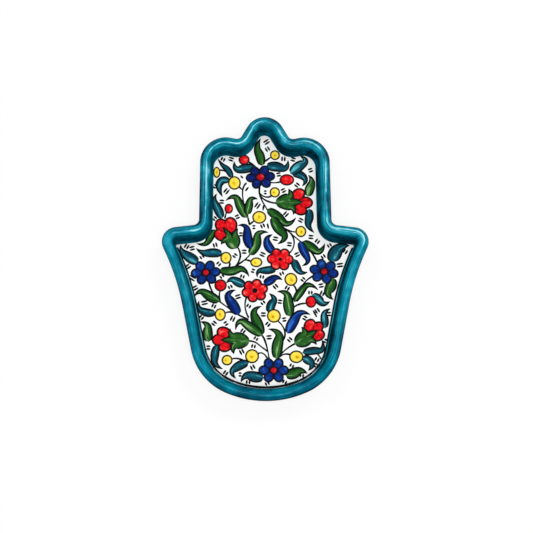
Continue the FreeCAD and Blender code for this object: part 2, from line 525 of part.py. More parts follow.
def carnation_calyx(name, leaves):
    """Outline and green field of a carnation's cup, its two lobes and its tongue."""
    lobe, other_lobe, tongue = leaves
    base = lobe[0]
    tip = tongue[3]
    reach, half = CUP_SHARES
    steps = [reach * step / 3 for step in range(4)]
    cup = [(base[0] + (tip[0] - base[0]) * step, base[1] + (tip[1] - base[1]) * step) for step in steps]
    pieces = [leaf(cup, half * math.hypot(tip[0] - base[0], tip[1] - base[1]), 1, TONGUE_ENAMEL_SHARES)]
    pieces += [leaf(places, half_share) for *places, half_share in (lobe, other_lobe)]
    pieces.append(leaf(tongue[:4], tongue[4], 1, TONGUE_ENAMEL_SHARES))
    whole = joined([piece[0] for piece in pieces])
    field = joined([piece[1] for piece in pieces])
    return "calyx_lines", whole, [("carnation_calyx_" + name, field)]


def berry(node, x_share, y_share, across_share, up_share):
    """Outline and enamel of a berry."""
    middle = spot(x_share, y_share)
    across = across_share * SQUARE
    up = up_share * SQUARE
    return "berry_lines", oval(middle, across, up), [(node, oval(middle, across - STEM_WIDTH, up - STEM_WIDTH))]


def stem(places):
    """A drawn stem of even width, with no enamel."""
    return "stem_lines", ribbon([spot(*place) for place in places], lambda share: STEM_WIDTH / 2), []


def dash(x_share, y_share, lean, length_share, offset=0.0):
    """One short stroke with round ends, moved sideways by offset."""
    half = DASH_WIDTH / 2
    way = math.radians(lean)
    along = Vector(math.cos(way), math.sin(way), 0)
    aside = Vector(-along.y, along.x, 0)
    middle = spot(x_share, y_share) + aside * offset
    reach = along * length_share * SQUARE / 2
    start = middle - reach
    end = middle + reach
    outline = [
        Part.LineSegment(start + aside * half, end + aside * half).toShape(),
        Part.Arc(end + aside * half, end + along * half, end - aside * half).toShape(),
        Part.LineSegment(end - aside * half, start - aside * half).toShape(),
        Part.Arc(start - aside * half, start - along * half, start + aside * half).toShape(),
    ]
    return "dash_marks", Part.Face(Part.Wire(outline)), []


def drawn_motifs():
    """Every motif in the order it is drawn: its line's node, whole shape, and enamels by node."""
    motifs = [stem(places) for places in STEM_SHARES]
    for x_share, y_share, lean, length_share in DASH_PAIR_SHARES:
        motifs += [dash(x_share, y_share, lean, length_share, side * DASH_GAP / 2) for side in (-1, 1)]
    motifs += [dash(*place) for place in LONE_DASH_SHARES]
    for colour, table in (("green", GREEN_LEAF_SHARES), ("teal", TEAL_LEAF_SHARES), ("blue", BLUE_LEAF_SHARES)):
        for region, leaves in table.items():
            for *places, half_share in leaves:
                whole, enamel = leaf(places, half_share)
                motifs.append(("leaf_lines", whole, [(colour + "_leaves_" + region, enamel)]))
    motifs += [berry("yellow_berries", *place) for place in YELLOW_BERRY_SHARES]
    motifs += [berry("red_berries", *place) for place in RED_BERRY_SHARES]
    motifs += [blue_flower(name, *place) for name, place in BLUE_FLOWER_SHARES.items()]
    motifs += [red_rosette(name, *place) for name, place in ROSETTE_SHARES.items()]
    for name, (petals, leaves) in CARNATION_SHARES.items():
        motifs.append(carnation_petals(name, petals, leaves))
        motifs.append(carnation_calyx(name, leaves))
    return motifs


def painting():
    """Solids of the painting by node: what is drawn later covers what was drawn before, and stems join up."""
    motifs = [(line_node, whole, fills, whole.BoundBox) for line_node, whole, fills in drawn_motifs()]
    nodes = {}
    for place, (line_node, whole, fills, box) in enumerate(motifs):
        covers = [later[1] for later in motifs[place + 1:] if later[0] != "stem_lines" and later[3].intersect(box)]
        pieces = [(line_node, whole, covers + [fill for node, fill in fills])]
        pieces += [(node, fill, covers) for node, fill in fills]
        for node, face, hidden_by in pieces:
            nodes.setdefault(node, []).append(face.cut(hidden_by) if hidden_by else face)
    nodes["stem_lines"] = [joined(nodes["stem_lines"])]
    field = Part.Face(hand_wire(FLOOR_INSET + EDGE_LINE_INSET + EDGE_LINE_WIDTH + FIELD_GAP, FLOOR_TOP))
    solids = {}
    for node, faces in nodes.items():
        height = LINE_HEIGHT if node.endswith("_lines") or node.endswith("_marks") else ENAMEL_HEIGHT
        kept = Part.makeCompound(faces).common(field)
        drawn = [face for face in kept.Faces if face.Area > LEAST_MARK]
        solids[node] = Part.makeCompound([face.extrude(Vector(0, 0, height)) for face in drawn])
    return solids


def edge_line():
    """Black line drawn round the palm's floor from thumb to thumb, just inside the wall."""
    outer = Part.Face(hand_wire(FLOOR_INSET + EDGE_LINE_INSET, FLOOR_TOP))
    inner = Part.Face(hand_wire(FLOOR_INSET + EDGE_LINE_INSET + EDGE_LINE_WIDTH, FLOOR_TOP))
    corner = Vector(-WIDTH / 2, EDGE_LINE_TOP_SHARE * LENGTH, FLOOR_TOP)
    fingers = Part.makePlane(WIDTH, LENGTH, corner)
    return outer.cut([inner, fingers]).extrude(Vector(0, 0, LINE_HEIGHT))


def build():
    """Every node of the dish by name."""
    nodes = {
        "clay_body": clay_body(),
        "rim_glaze": rim_glaze(),
        "floor_glaze": floor_glaze(),
        "edge_line": edge_line(),
    }
    nodes.update(painting())
    return nodes


def main():
    """Write each node to its STEP file."""
    os.makedirs("parts", exist_ok=True)
    for name, shape in build().items():
        shape.exportStep(os.path.join("parts", name + ".step"))
        print(name, len(shape.Solids), round(shape.Volume, 1), shape.isValid())


main()
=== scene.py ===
"""Looks of a hand-shaped (hamsa) dish of glazed earthenware, on a white studio floor.

The rim's turquoise coat and every painted motif are surfaces made here with numpy, and the clay and the white
floor glaze keep their solids. Metres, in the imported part's frame: +Z out of the dish, +Y to the fingertips.
"""

import functools
import math

import bpy
import numpy as np
from mathutils import Matrix, Vector


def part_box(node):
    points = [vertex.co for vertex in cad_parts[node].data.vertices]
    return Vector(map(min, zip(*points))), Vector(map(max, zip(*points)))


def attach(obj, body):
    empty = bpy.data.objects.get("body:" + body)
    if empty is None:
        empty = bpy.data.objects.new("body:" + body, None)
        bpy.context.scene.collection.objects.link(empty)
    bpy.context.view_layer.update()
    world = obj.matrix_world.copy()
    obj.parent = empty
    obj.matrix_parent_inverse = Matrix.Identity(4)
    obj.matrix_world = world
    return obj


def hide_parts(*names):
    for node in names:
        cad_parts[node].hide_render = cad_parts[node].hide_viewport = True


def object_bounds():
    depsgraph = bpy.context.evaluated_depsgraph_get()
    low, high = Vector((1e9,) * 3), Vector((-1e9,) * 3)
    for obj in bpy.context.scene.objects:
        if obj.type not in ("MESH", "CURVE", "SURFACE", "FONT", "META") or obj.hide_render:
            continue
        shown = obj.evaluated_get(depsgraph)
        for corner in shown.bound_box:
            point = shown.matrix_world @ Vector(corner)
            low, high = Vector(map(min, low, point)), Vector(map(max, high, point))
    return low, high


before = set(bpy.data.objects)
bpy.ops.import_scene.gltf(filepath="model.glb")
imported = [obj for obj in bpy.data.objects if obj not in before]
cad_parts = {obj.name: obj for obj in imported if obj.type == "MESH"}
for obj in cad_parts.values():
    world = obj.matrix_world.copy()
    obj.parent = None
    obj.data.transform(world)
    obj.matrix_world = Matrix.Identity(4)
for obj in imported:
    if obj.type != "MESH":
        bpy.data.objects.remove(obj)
CAD_BOX = [list(corner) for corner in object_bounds()]

bl_info = {
    "name": "Hamsa dish",
    "version": (1, 0, 0),
    "blender": (4, 5, 0),
    "location": "3D View > Sidebar > Hamsa dish",
    "description": "Makes the glazes and the painting of a hand-shaped dish, and its stage",
    "category": "Object",
}

MM = 0.001
WIDTH = CAD_BOX[1][0] - CAD_BOX[0][0]
LENGTH = CAD_BOX[1][1] - CAD_BOX[0][1]
HEIGHT = CAD_BOX[1][2]
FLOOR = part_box("floor_glaze")[1].z
SQUARE = WIDTH / 100        # the pattern is drawn on squares, a hundred across the hand
MIDDLE = np.array([0, 0.58])  # middle of the pattern, in squares from the middle of the outline

# The hand's outline: slopes in degrees, radii of its corners, and their places by the width and the length
TIP_SLOPE, WRIST_SLOPE, THUMB_FALL, THUMB_LEAN = 60.0, 21.5, 6.8, 24.6
NOTCH_RADIUS, SHOULDER_RADIUS, CROOK_RADIUS = 3.6 * MM, 16.4 * MM, 3.8 * MM
FLARE_RADIUS, HEEL_RADIUS, WRIST_RADIUS, LEAST_RADIUS = 155 * MM, 36 * MM, 62 * MM, 0.6 * MM
NOTCH_X, HEEL_X, FLARE_Y = 0.125 * WIDTH, 0.325 * WIDTH, -0.0792 * LENGTH
SHOULDER, CROOK = (0.317 * WIDTH, 0.4455 * LENGTH), (0.322 * WIDTH, 0.1073 * LENGTH)

# The coat's section, as inset from the outline and height in mm: foot, inner wall with its cove, underside
COAT_INSET = 5.0 * MM
COAT_STOP = 62              # degrees round the outer wall at which the coat ends above the foot
INNER_WALL = [(6.85, 14.0), (7.15, 11.5), (7.45, 9.0), (7.62, 7.6), (7.8, 6.8), (8.1, 6.25), (8.5, 6.03)]
COAT_UNDERSIDE = [(8.4, 5.7), (7.7, 6.0), (7.1, 9.0), (6.3, 15.0), (4.9, 18.6), (3.3, 19.3), (1.7, 18.6),
                  (0.7, 16.5), (1.0, 8.0), (2.9, 2.1)]
PROFILE_WAY = 36.0          # mm over the coat, from its foot to the floor's edge
WRIST_TOP, WRIST_SPAN = -0.055, 0.02  # metres: where the wrist starts, and over what length it changes

# Places are x and y in turn, in squares. Leaves: base, two bends, end of the tail, and half width; those that
# touch stand next to each other.
GREEN_LEAVES = {
    "fingers": [
        (-1.4, 47.6, -2.2, 52.2, -3.6, 56.6, -2, 61.6, 2.1),
        (-8.6, 22.2, -7.9, 26.4, -6.8, 30, -3.6, 30, 1.9),
        (-9.2, 20.6, -11.9, 26, -14.6, 31, -19.2, 29.2, 2.1),
        (3.9, 20.8, 6.3, 15.6, 9.7, 10.8, 6.2, 7.1, 2.3),
        (1.4, 24.6, 5.6, 21.6, 10.6, 17.4, 15.2, 20.4, 2.15),
        (21.4, 31.6, 22.2, 35, 23.4, 39.2, 21.8, 42.5, 2.1),
    ],
    "palm": [
        (-24.6, 14.2, -26.6, 10.6, -29, 7.2, -33.4, 7.2, 1.6),
        (-7.4, 1.7, -4.3, 7, -3.2, 12.2, 1.6, 12.9, 2.15),
        (-22, -6.1, -16.8, -6.7, -11.4, -5.6, -7.9, -9.3, 2.05),
        (18.6, 8.2, 22.2, 5.7, 26.4, 3.3, 29.3, 7.2, 2.1),
        (32.8, -10.2, 32.1, -13.8, 30.5, -17.6, 32.9, -20.8, 2.4),
        (14.2, -21.8, 16.7, -17.6, 20.6, -13.6, 25.6, -16, 1.75),
        (11.8, -29, 11.2, -23.4, 10.4, -18.2, 5.9, -16.9, 2.35),
        (-22.4, -21.7, -26.6, -19.4, -31, -16.9, -34.2, -19.2, 2.2),
        (-27.4, -41.4, -27.8, -37.4, -28, -33.6, -31.1, -31.8, 2.2),
        (-1.8, -38.4, -6.6, -34.9, -12, -31.6, -14.4, -35.7, 2.1),
        (-1.8, -38.3, -3.9, -32.6, -5.5, -27, -1.9, -24.2, 2.35),
        (5.2, -49.7, 5.6, -44, 6.4, -38, 1.5, -35.4, 2.4),
        (9.6, -57.6, 13, -57, 16.4, -55.7, 19.8, -56.9, 2.4),
    ],
}
TEAL_LEAVES = {
    "fingers": [
        (-16.4, 41.2, -18.2, 45, -20.9, 47.6, -23.2, 50.7, 1.45),
        (-17.6, 39.2, -21, 39.6, -22.7, 36.6, -21, 31.3, 1.8),
        (-21.2, 20.2, -23, 24.6, -24.8, 29, -23.8, 32.6, 2),
        (1, 47, 5.6, 46.9, 10.2, 46.2, 11.7, 50.1, 2.3),
        (-5.4, 46.6, -9.4, 45.9, -13.8, 45.5, -15.1, 49.4, 2.2),
        (13, 43.4, 16.8, 46.8, 20.3, 49.8, 17.8, 52.5, 2.4),
        (13.8, 43, 17.8, 42.6, 20.2, 40, 18.7, 36.8, 1.85),
        (22, 24.8, 21.9, 20.6, 21.4, 16.6, 24.1, 12.9, 1.9),
    ],
    "palm": [
        (-21.2, 2, -24.8, 2.5, -29.8, 2.5, -33.6, 4.7, 2.05),
        (-32.6, -2.2, -36.2, -0.2, -40.2, 3, -41.2, 6.4, 2.3),
        (5.2, -5.6, 1.2, -6.2, -3, -6.7, -3.8, -9.6, 1.8),
        (14.2, -0.8, 15.1, -4.2, 17.3, -7.2, 20.6, -7.1, 1.85),
        (33, -2, 34, 1.8, 36.8, 5.2, 41.4, 6.2, 2.95),
        (2, -27.2, 2.7, -23.8, 4.2, -20.6, 1.9, -17.9, 1.95),
        (-10, -13.8, -13, -12.3, -16.2, -10.9, -18.8, -12.6, 2),
        (-24.2, -27.2, -28.2, -27.3, -31.8, -25.4, -32.1, -21.6, 1.85),
        (22.8, -18.6, 25.4, -20.4, 28, -22.8, 31.2, -21.8, 2),
        (28.7, -34.8, 28.6, -31.4, 28.6, -27.6, 31.4, -25.4, 1.8),
        (18, -46.8, 22.6, -46, 27, -45.4, 27.2, -40.8, 1.75),
        (17.6, -49.8, 20.6, -50.7, 22.1, -52.9, 20.4, -55.5, 1.9),
        (-1.2, -59, -5, -58.6, -9.2, -58, -11.8, -60.9, 2.35),
        (-8.4, -51.8, -12.6, -53.2, -16, -56, -14.3, -59.2, 2),
        (-23.2, -43.4, -24.3, -47.8, -24.1, -52, -20.6, -54.7, 1.85),
    ],
}
BLUE_LEAVES = {
    "palm": [
        (-6.9, 4.9, -8.5, 9.6, -9.2, 15.4, -13.1, 16.4, 2.15),
        (4.6, 3, 1.7, 5.8, 1, 9.6, 3.6, 11.7, 2),
        (17.3, 8.3, 18.7, 4, 20.9, -1.2, 18.1, -3.9, 1.9),
        (-0.4, -13.2, 2.4, -11.4, 5.2, -9.9, 8.2, -11, 1.9),
        (-12.8, -28.1, -15.6, -23.6, -18.1, -18.8, -14.5, -16.1, 2.3),
        (10.8, -37.4, 13.2, -32.2, 16.6, -27.6, 21.5, -28.3, 2.25),
    ],
}

# Berries: middle and the two radii
YELLOW_BERRIES = [
    (-23.8, 43.8, 1.85, 2.9), (-15, 38.3, 3.2, 3.55), (5.2, 52.9, 2.5, 2.6), (5, 33.5, 2.6, 2.7),
    (-2.75, 20.6, 3.5, 3.3), (17.65, 13.4, 2.7, 2.9), (-19.1, 0, 2.8, 3.05), (-4.3, -2.25, 3, 2.5),
    (12.5, -10.8, 3.2, 3.3), (-21.8, -28.3, 2.75, 3.15), (4.1, -28.9, 3.4, 3.4), (-6.5, -48.6, 3.35, 3.45),
    (14.7, -48.9, 3.5, 3.1), (-18.45, -50.5, 2.65, 2.6),
]
RED_BERRIES = [
    (-10.2, 50.4, 2.8, 2.7), (11, 40, 3.7, 3), (-17.8, 25, 2.15, 2.6), (-21.7, -13.8, 3.05, 3.1),
    (22.1, -21.9, 2.7, 3.05),
]

# Flowers of six petals: middle, and turn in degrees
BLUE_FLOWERS = {
    "top": (-2.1, 41.4, 6),
    "left": (-28.9, -7.4, 5),
    "right": (28.7, -6.8, -15),
    "bottom": (3.8, -55.4, 0),
}
ROSETTES = {"upper": (7.4, -0.7, -3), "lower": (-5.1, -16.4, 16)}

# Carnations: three petals with their radii, then two lobes and a tongue as leaves
CARNATIONS = {
    "upper_right": (
        [(17.4, 33, 2.9), (21.3, 28.2, 3), (18.2, 24.3, 2.9)],
        [(5.6, 28.3, 9.6, 30, 12.7, 31.8, 11.8, 35.2, 2.3),
         (5.6, 28.3, 9.8, 27, 13.9, 25.4, 14, 22.1, 2.2),
         (7.4, 28.3, 11.4, 28.3, 15.2, 28.4, 18.9, 28.5, 2.3)],
    ),
    "upper_left": (
        [(-17, 17.6, 3.3), (-21.8, 17.2, 3.1), (-22, 11.9, 3)],
        [(-14.4, 4.8, -14.3, 8.6, -14.8, 11.8, -13.3, 14.8, 2.1),
         (-14.4, 4.8, -16.6, 8, -19.2, 9, -21.5, 6.8, 2.1),
         (-16.4, 9.6, -17.6, 11.6, -19, 13.4, -20.7, 15.4, 1.35)],
    ),
    "lower_left": (
        [(-20.8, -36.9, 3), (-23.4, -40.6, 2.9), (-20.1, -44.1, 2.7)],
        [(-8, -41.2, -12.2, -39.6, -16.2, -38.6, -17, -35.2, 2.3),
         (-8, -41.3, -11.8, -42.4, -15.2, -43.8, -15.2, -47.4, 2.3),
         (-9.8, -40.9, -13.8, -40.8, -17.8, -40.7, -21.5, -40.7, 2.2)],
    ),
    "lower_right": (
        [(21.8, -32.9, 2.8), (26, -33.8, 2.6), (25.8, -38.1, 3)],
        [(14.4, -42.6, 16.6, -39.8, 18.9, -37.4, 17.4, -34.4, 2.2),
         (14.4, -42.6, 18.2, -42, 21.9, -40.6, 24.4, -43, 2.2),
         (16, -41.4, 19, -39.6, 22, -37.8, 24.9, -35.8, 2.2)],
    ),
}

# Stems, from end to end
STEMS = [
    (-23, 44.3, -21.4, 45, -19, 44), (-12.6, 36.2, -11, 34.8), (-9.2, 38.2, -10.9, 34.6, -10.6, 29, -9, 23.6),
    (-19, 23, -19.7, 20.2), (-8.7, 22, -7.6, 17), (-5.4, 18.8, -7.6, 16.8), (0.2, 49.6, 2.9, 51.7),
    (-7.8, 49.2, -5.4, 47.6, -3.2, 45.4), (-2.5, 36, -2.1, 31, 1.4, 24.2, 4.2, 20),
    (4, 20.2, 8.6, 16, 13.8, 11.4, 18.4, 7.4, 22.6, 3, 25.2, -1.8),
    (-2.3, 32.8, -0.2, 31.3, 2, 31.1, 3.4, 32), (-2.2, 32, 0.6, 29.3, 5.9, 27.8), (-0.5, 26.8, -0.9, 24.4),
    (9.6, 15, 12.2, 13.7, 15.4, 13.1), (12.6, 12.6, 14.2, 9, 13.8, 5.2, 11.4, 2), (2, 39, 4.6, 38.5, 7.9, 39),
    (-7.2, 2.2, -9.6, -0.7, -14.2, -3.9), (-10, -1.1, -8.4, -1.2, -6.9, -1.8),
    (-13.4, 5.4, -12.1, 1.6, -12.8, -1.6, -14.4, -4.2), (-17.6, -2.2, -17.3, -3.8, -18.8, -5.9),
    (-23.2, -6.4, -21, -6.2), (-9, -19.4, -9.8, -24.4, -8.2, -29.6),
    (-22.4, -21.6, -18.4, -24.6, -13.6, -28, -8.4, -30.6), (-21.9, -16.6, -22.3, -19.2, -21.8, -22),
    (-19.3, -27.4, -17, -27, -14.4, -27.8), (-27.4, -12, -26.4, -15.4, -24.6, -18.4),
    (-1.6, -38.6, 0.2, -42.6, 1.7, -50), (-8.4, -41.2, -5, -41.8, -1.8, -44.2, 0.9, -46.2),
    (-3.4, -47.3, -1.2, -47.3, 1, -50), (6.2, -31.6, 8.6, -34.6, 9.4, -38, 8, -41.4),
    (13, -25.4, 15.8, -23.4, 19.7, -22.7), (13.6, -13.6, 15.1, -16.4, 14.6, -20.4),
    (24.4, -8.4, 21, -10.6, 18.6, -12.9), (24.6, -47, 26, -49, 26.4, -49.8),
    (5.8, -50.2, 9.2, -45.8, 14.8, -42.2), (7, -48.8, 9.2, -47.6, 11.8, -47.9),
    (-16.2, -50, -13.4, -49.7, -10, -51),
]

# Pairs of dashes, then lone ones: middle, lean in degrees, and length
DASH_PAIRS = [
    (-20.7, 50.7, 65, 1.4), (-16.6, 50.7, -18, 1.9), (-24.6, 36.5, -35, 1.2), (-18.9, 34.1, 52, 2.2),
    (-21.2, 28.6, -5, 1.7), (-13.5, 20.9, 25, 1.6), (-24.7, 19.9, -40, 1.3), (1.1, 59.9, 35, 2.2),
    (1.5, 56, -60, 1.8), (9.4, 51, 88, 1.8), (14.3, 50.7, -15, 1.8), (7, 42.8, 10, 1.6),
    (16.1, 37.3, -40, 1.7), (22.9, 45.1, 20, 1.7), (0.3, 33.5, 0, 0.9), (9.3, 34.5, 30, 1.7),
    (-3.6, 26.7, 55, 2.4), (10.4, 22.3, 48, 2), (17.7, 19.1, -28, 1.8), (-5.4, 15.6, 0, 1),
    (-1.1, 16.2, -65, 1.5), (-11.8, 11.9, 0, 1.2), (-10.15, 3.1, 0, 1.7), (-14.7, 1.1, -40, 1.4),
    (-1.2, 1.75, -25, 2), (5.2, 9.7, -12, 1.9), (-5.9, -6.5, -20, 1.2), (-11.1, -9.3, 70, 1.2),
    (-1.6, -9.5, 80, 1.2), (-21, -9.4, -50, 1.2), (8.1, -7.9, -65, 1.3), (12, 6.9, -5, 1.8),
    (15.7, 1.7, 28, 1.8), (22.6, 10.6, -5, 1.8), (25.7, 8.4, 52, 1.7), (28.5, 0.6, -55, 1.5),
    (18.4, -10.8, -40, 1.3), (31.6, 6.3, -60, 1.3), (39.3, 3.3, 55, 1.7), (36.6, -3.6, 8, 2.4),
    (-38.3, 5.8, 60, 1.8), (-35.6, 4.8, 15, 1.9), (-30.8, 0.4, -55, 1.3), (-37.6, -4.4, 40, 2),
    (-35.4, -10.2, -30, 2.6), (-22.6, -3, 45, 1.3), (-24.4, 6.4, -72, 1.6), (-34, -15.1, 30, 2),
    (-29.4, -22.4, 12, 2.3), (-24.9, -24, 62, 1.5), (-17, -14.6, -65, 1.3), (-13.2, -19.4, 18, 2),
    (-30.8, -29.6, 50, 1.5), (-24.7, -32.6, -38, 1.6), (-19, -32.6, 35, 1.3), (-15.8, -30.3, 65, 2),
    (5, -14.4, -50, 1.8), (10.7, -15.1, 58, 1.6), (7.1, -21.9, -10, 1.5), (-1.1, -22.5, -50, 1.2),
    (-8, -24, 60, 1.3), (-0.95, -28.2, 0, 1.8), (1.2, -33, 50, 1.6), (9.1, -30.7, 10, 1.4),
    (-10.8, -36.3, 55, 1.6), (27.2, -13.85, 10, 1.8), (21.9, -17.4, -88, 1.3), (27.7, -17.7, 65, 1.8),
    (25.1, -26.4, -58, 1.8), (30.8, -28, 5, 1.4), (19.1, -30, -28, 1.5), (-27.4, -44.4, 0, 1.4),
    (-11.4, -46.5, -62, 1.9), (-19.1, -56.6, 55, 1.6), (-12.2, -57.4, 0, 1), (-4.6, -40, 55, 1.2),
    (1.75, -39.4, 5, 1.9), (-5.8, -43.7, 80, 1.3), (-6.2, -54, -62, 1.7), (11.7, -40.6, -42, 1.6),
    (12.5, -53.2, 60, 1.2), (-8.4, -61, 85, 1.3), (0.7, -61.8, -65, 1.2), (9, -61, 62, 1.3),
    (28.7, -41.2, -35, 1.1), (17.2, -57.9, 80, 1.2), (23.9, -53, -45, 1.1), (24.6, -50.2, 60, 1.4),
]
LONE_DASHES = [
    (-11.3, 41.4, -50, 1.3), (-8.8, 35.2, 55, 1.9), (1.5, 16.1, -78, 2.0), (24.0, -27.9, -62, 2.8),
]
DASH_OFFSET = 0.66          # squares from a pair's middle to each dash
DASH_REACH = 0.6            # of its length, from a dash's middle to each end
DASH_TAPER = np.array([0.75, 1.0, 1.05, 0.95, 0.6])
STEM_SWELL, STEM_WAVE = 0.18, 5  # share by which a stem swells and thins, and radians of that wave along it
BERRY_LINE = 0.85           # of the line's width

# The line round the palm: its insets on the palm and at the wrist, where it ends below the thumbs, how much
# its width wanders, and how much wider it is at the wrist
EDGE_INSETS = [8.8 * MM, 9.4 * MM]
EDGE_TOP = 0.04 * LENGTH
EDGE_WANDER, EDGE_WIDENING = 0.3, 0.6

# Petals lie on an oval ring round a flower's middle: the ring's and the petals' two radii, in squares
FLOWER_RING, FLOWER_PETAL, FLOWER_HEART = (4.5, 3.6), (2.9, 2.5), 2.1
ROSETTE_RING, ROSETTE_PETAL, ROSETTE_HEART = (4.0, 3.4), 2.65, 3.6
FLOWER_EYES = {"top": 1.75, "left": 1.4, "right": 1.4, "bottom": 1.4, "upper": 0.9, "lower": 1.25}

# Carnations: from the lobes' start to the tongue's tip, the shares at which petals spread and the cup ends;
# the cup's half width by its length; a petal's radii by the table's, and how far it is drawn to the cup
SPREAD_SHARE, CUP_SHARE, CUP_HALF = 0.4, 0.7, 0.33
PETAL_LONG, PETAL_WIDE, PETAL_PULL = 1.32, 1.08, 0.13
CALYX_SWELL, CALYX_WIDEST = 1.15, 0.42

# Levels of the painting, lowest first: what is painted later lies over what was painted before
LEVELS = {"ground": 0, "green": 1, "teal": 2, "blue": 3, "berry": 4, "flower": 5, "calyx": 6, "edge": 6}
LEVEL_STEP = 0.04 * MM
ENAMEL_OVER_LINE = 0.006 * MM
PETAL_STEP = 0.01 * MM
UNDERSIDE = FLOOR - 0.02 * MM
LEAF_STEPS, STEM_STEPS = 30, 20
LEAST_HALF = 0.08           # squares, half of the narrowest enamel that is filled in
OUTLINE_FLATNESS, STROKE_FLATNESS = 0.3, 0.4
STROKE_SIDES = 8

# Softboxes: direction and distance in metres from the dish, sides in metres and watts
LAMPS = {
    "softbox_right": ((0.42, 0.50, 1.0), 1.2, (0.34, 0.24), 2.0),
    "softbox_left": ((-0.46, 0.40, 1.0), 1.2, (0.20, 0.20), 0.8),
    "softbox_front": ((0.0, -0.28, 1.0), 2.0, (1.0, 1.0), 25.4),
}
FLOOR_HALF = 2.5            # metres from the middle of the studio floor to its side
PAPER_GLOW = 0.8            # share of its white that the paper gives out by itself
WORLD_LIGHT = 0.32

# The camera: its three turns in degrees, lens and sensor in mm, distance and target in metres, and the pixel
# of the image at which it looks straight out
CAMERA_TILT, CAMERA_SIDE, CAMERA_ROLL = 14.5, 1.5, -0.32
CAMERA_LENS, CAMERA_SENSOR, CAMERA_WAY = 85, 36, 0.788
CAMERA_TARGET = (0, 0.00075, 0.011)
IMAGE_SIDE, IMAGE_MIDDLE = 533, (265.3, 255.9)


def linear(code):
    """A linear colour from an sRGB hex code."""
    shares = np.array([int(code[place:place + 2], 16) for place in (1, 3, 5)]) / 255
    return tuple(np.where(shares <= 0.04045, shares / 12.92, ((shares + 0.055) / 1.055) ** 2.4))


def shade(colour):
    """Linear red, green and blue from a grey, an sRGB hex code or the name of a colour on the panel."""
    if isinstance(colour, float):
        return (colour,) * 3
    return linear(colour) if colour.startswith("#") else getattr(bpy.context.scene.hamsa_colours, colour)


def hand_corners():
    """The outline's corners, clockwise from the middle fingertip: x, y, radius, 1 if outer or -1 if inner."""
    sizes = bpy.context.scene.hamsa_sizes
    tip, wrist, fall, lean = map(math.radians, (TIP_SLOPE, WRIST_SLOPE, THUMB_FALL, THUMB_LEAN))
    thumb_radius = sizes.thumb_radius
    tip_y = LENGTH / 2 + sizes.tip_radius * (1 / math.cos(tip) - 1)
    upper = np.array([-math.sin(fall), -math.cos(fall)])
    side = np.array([-math.cos(lean), math.sin(lean)])
    thumb_x = WIDTH / 2 - thumb_radius - ((upper + side) / (1 + upper @ side))[0] * thumb_radius
    thumb_y = CROOK[1] - (thumb_x - CROOK[0]) * math.tan(fall)
    wrist_y = -LENGTH / 2 - WRIST_RADIUS * (1 / math.cos(wrist) - 1)
    right = np.array([
        (0, tip_y, sizes.tip_radius, 1),
        (NOTCH_X, tip_y - NOTCH_X * math.tan(tip), NOTCH_RADIUS, -1),
        (*SHOULDER, SHOULDER_RADIUS, 1),
        (*CROOK, CROOK_RADIUS, -1),
        (thumb_x, thumb_y, thumb_radius, 1),
        (thumb_x - (thumb_y - FLARE_Y) * math.tan(lean), FLARE_Y, FLARE_RADIUS, -1),
        (HEEL_X, wrist_y + HEEL_X * math.tan(wrist), HEEL_RADIUS, 1),
        (0, wrist_y, WRIST_RADIUS, 1),
    ])
    return np.vstack([right, right[-2:0:-1] * (-1, 1, 1, 1)])


def hand_lines(insets, arc_steps=26, side_steps=14):
    """The outline moved inwards by each inset, as one row of points each.

    Each corner moves along the sum of its two inward normals, its radius shrinks or grows by the inset, and
    the row runs round its arc at even angles and along the straight side to the next.
    """
    corners = hand_corners()
    point = corners[:, :2]
    after = np.roll(point, -1, 0) - point
    after /= np.linalg.norm(after, axis=1)[:, None]
    before = np.roll(after, 1, 0)
    inward = np.column_stack([before[:, 1] + after[:, 1], -before[:, 0] - after[:, 0]])
    inward /= (1 + (before * after).sum(1))[:, None]
    turn = np.arctan2(before[:, 0] * after[:, 1] - before[:, 1] * after[:, 0], (before * after).sum(1))
    inset = np.asarray(insets, float)[:, None, None]
    radius = np.maximum(corners[:, 2] - corners[:, 3] * inset[:, :, 0], LEAST_RADIUS)[..., None]
    moved = point + inward * inset
    start = moved - before * radius * np.tan(np.abs(turn) / 2)[:, None]
    across = np.column_stack([before[:, 1], -before[:, 0]]) * -np.sign(turn)[:, None]
    middle = start + across * radius
    way = (np.arctan2(-across[:, 1], -across[:, 0])[:, None] + turn[:, None] * np.linspace(0, 1, arc_steps))
    arcs = middle[:, :, None] + radius[..., None] * np.stack([np.cos(way), np.sin(way)], -1)
    steps = np.linspace(0, 1, side_steps + 2)[1:-1, None]
    sides = arcs[:, :, -1:] + (np.roll(arcs[:, :, :1], -1, 1) - arcs[:, :, -1:]) * steps
    return np.concatenate([arcs, sides], 2).reshape(len(insets), -1, 2)


def way_along(points):
    """How far each point lies from the first, along the row of points."""
    return np.r_[0, np.cumsum(np.linalg.norm(np.diff(points, axis=0), axis=1))]


def waves(length, period, seed, turns=7):
    """A smooth wave from -1 to 1 over a closed way: sines of whole turns with chosen phases, added up."""
    phases = np.random.default_rng(seed)
    way = 2 * np.pi * length / period
    total = sum(np.sin(way * turn + phases.uniform(0, 2 * np.pi)) / math.sqrt(turn)
                for turn in range(1, turns + 1))
    return total / np.abs(total).max()


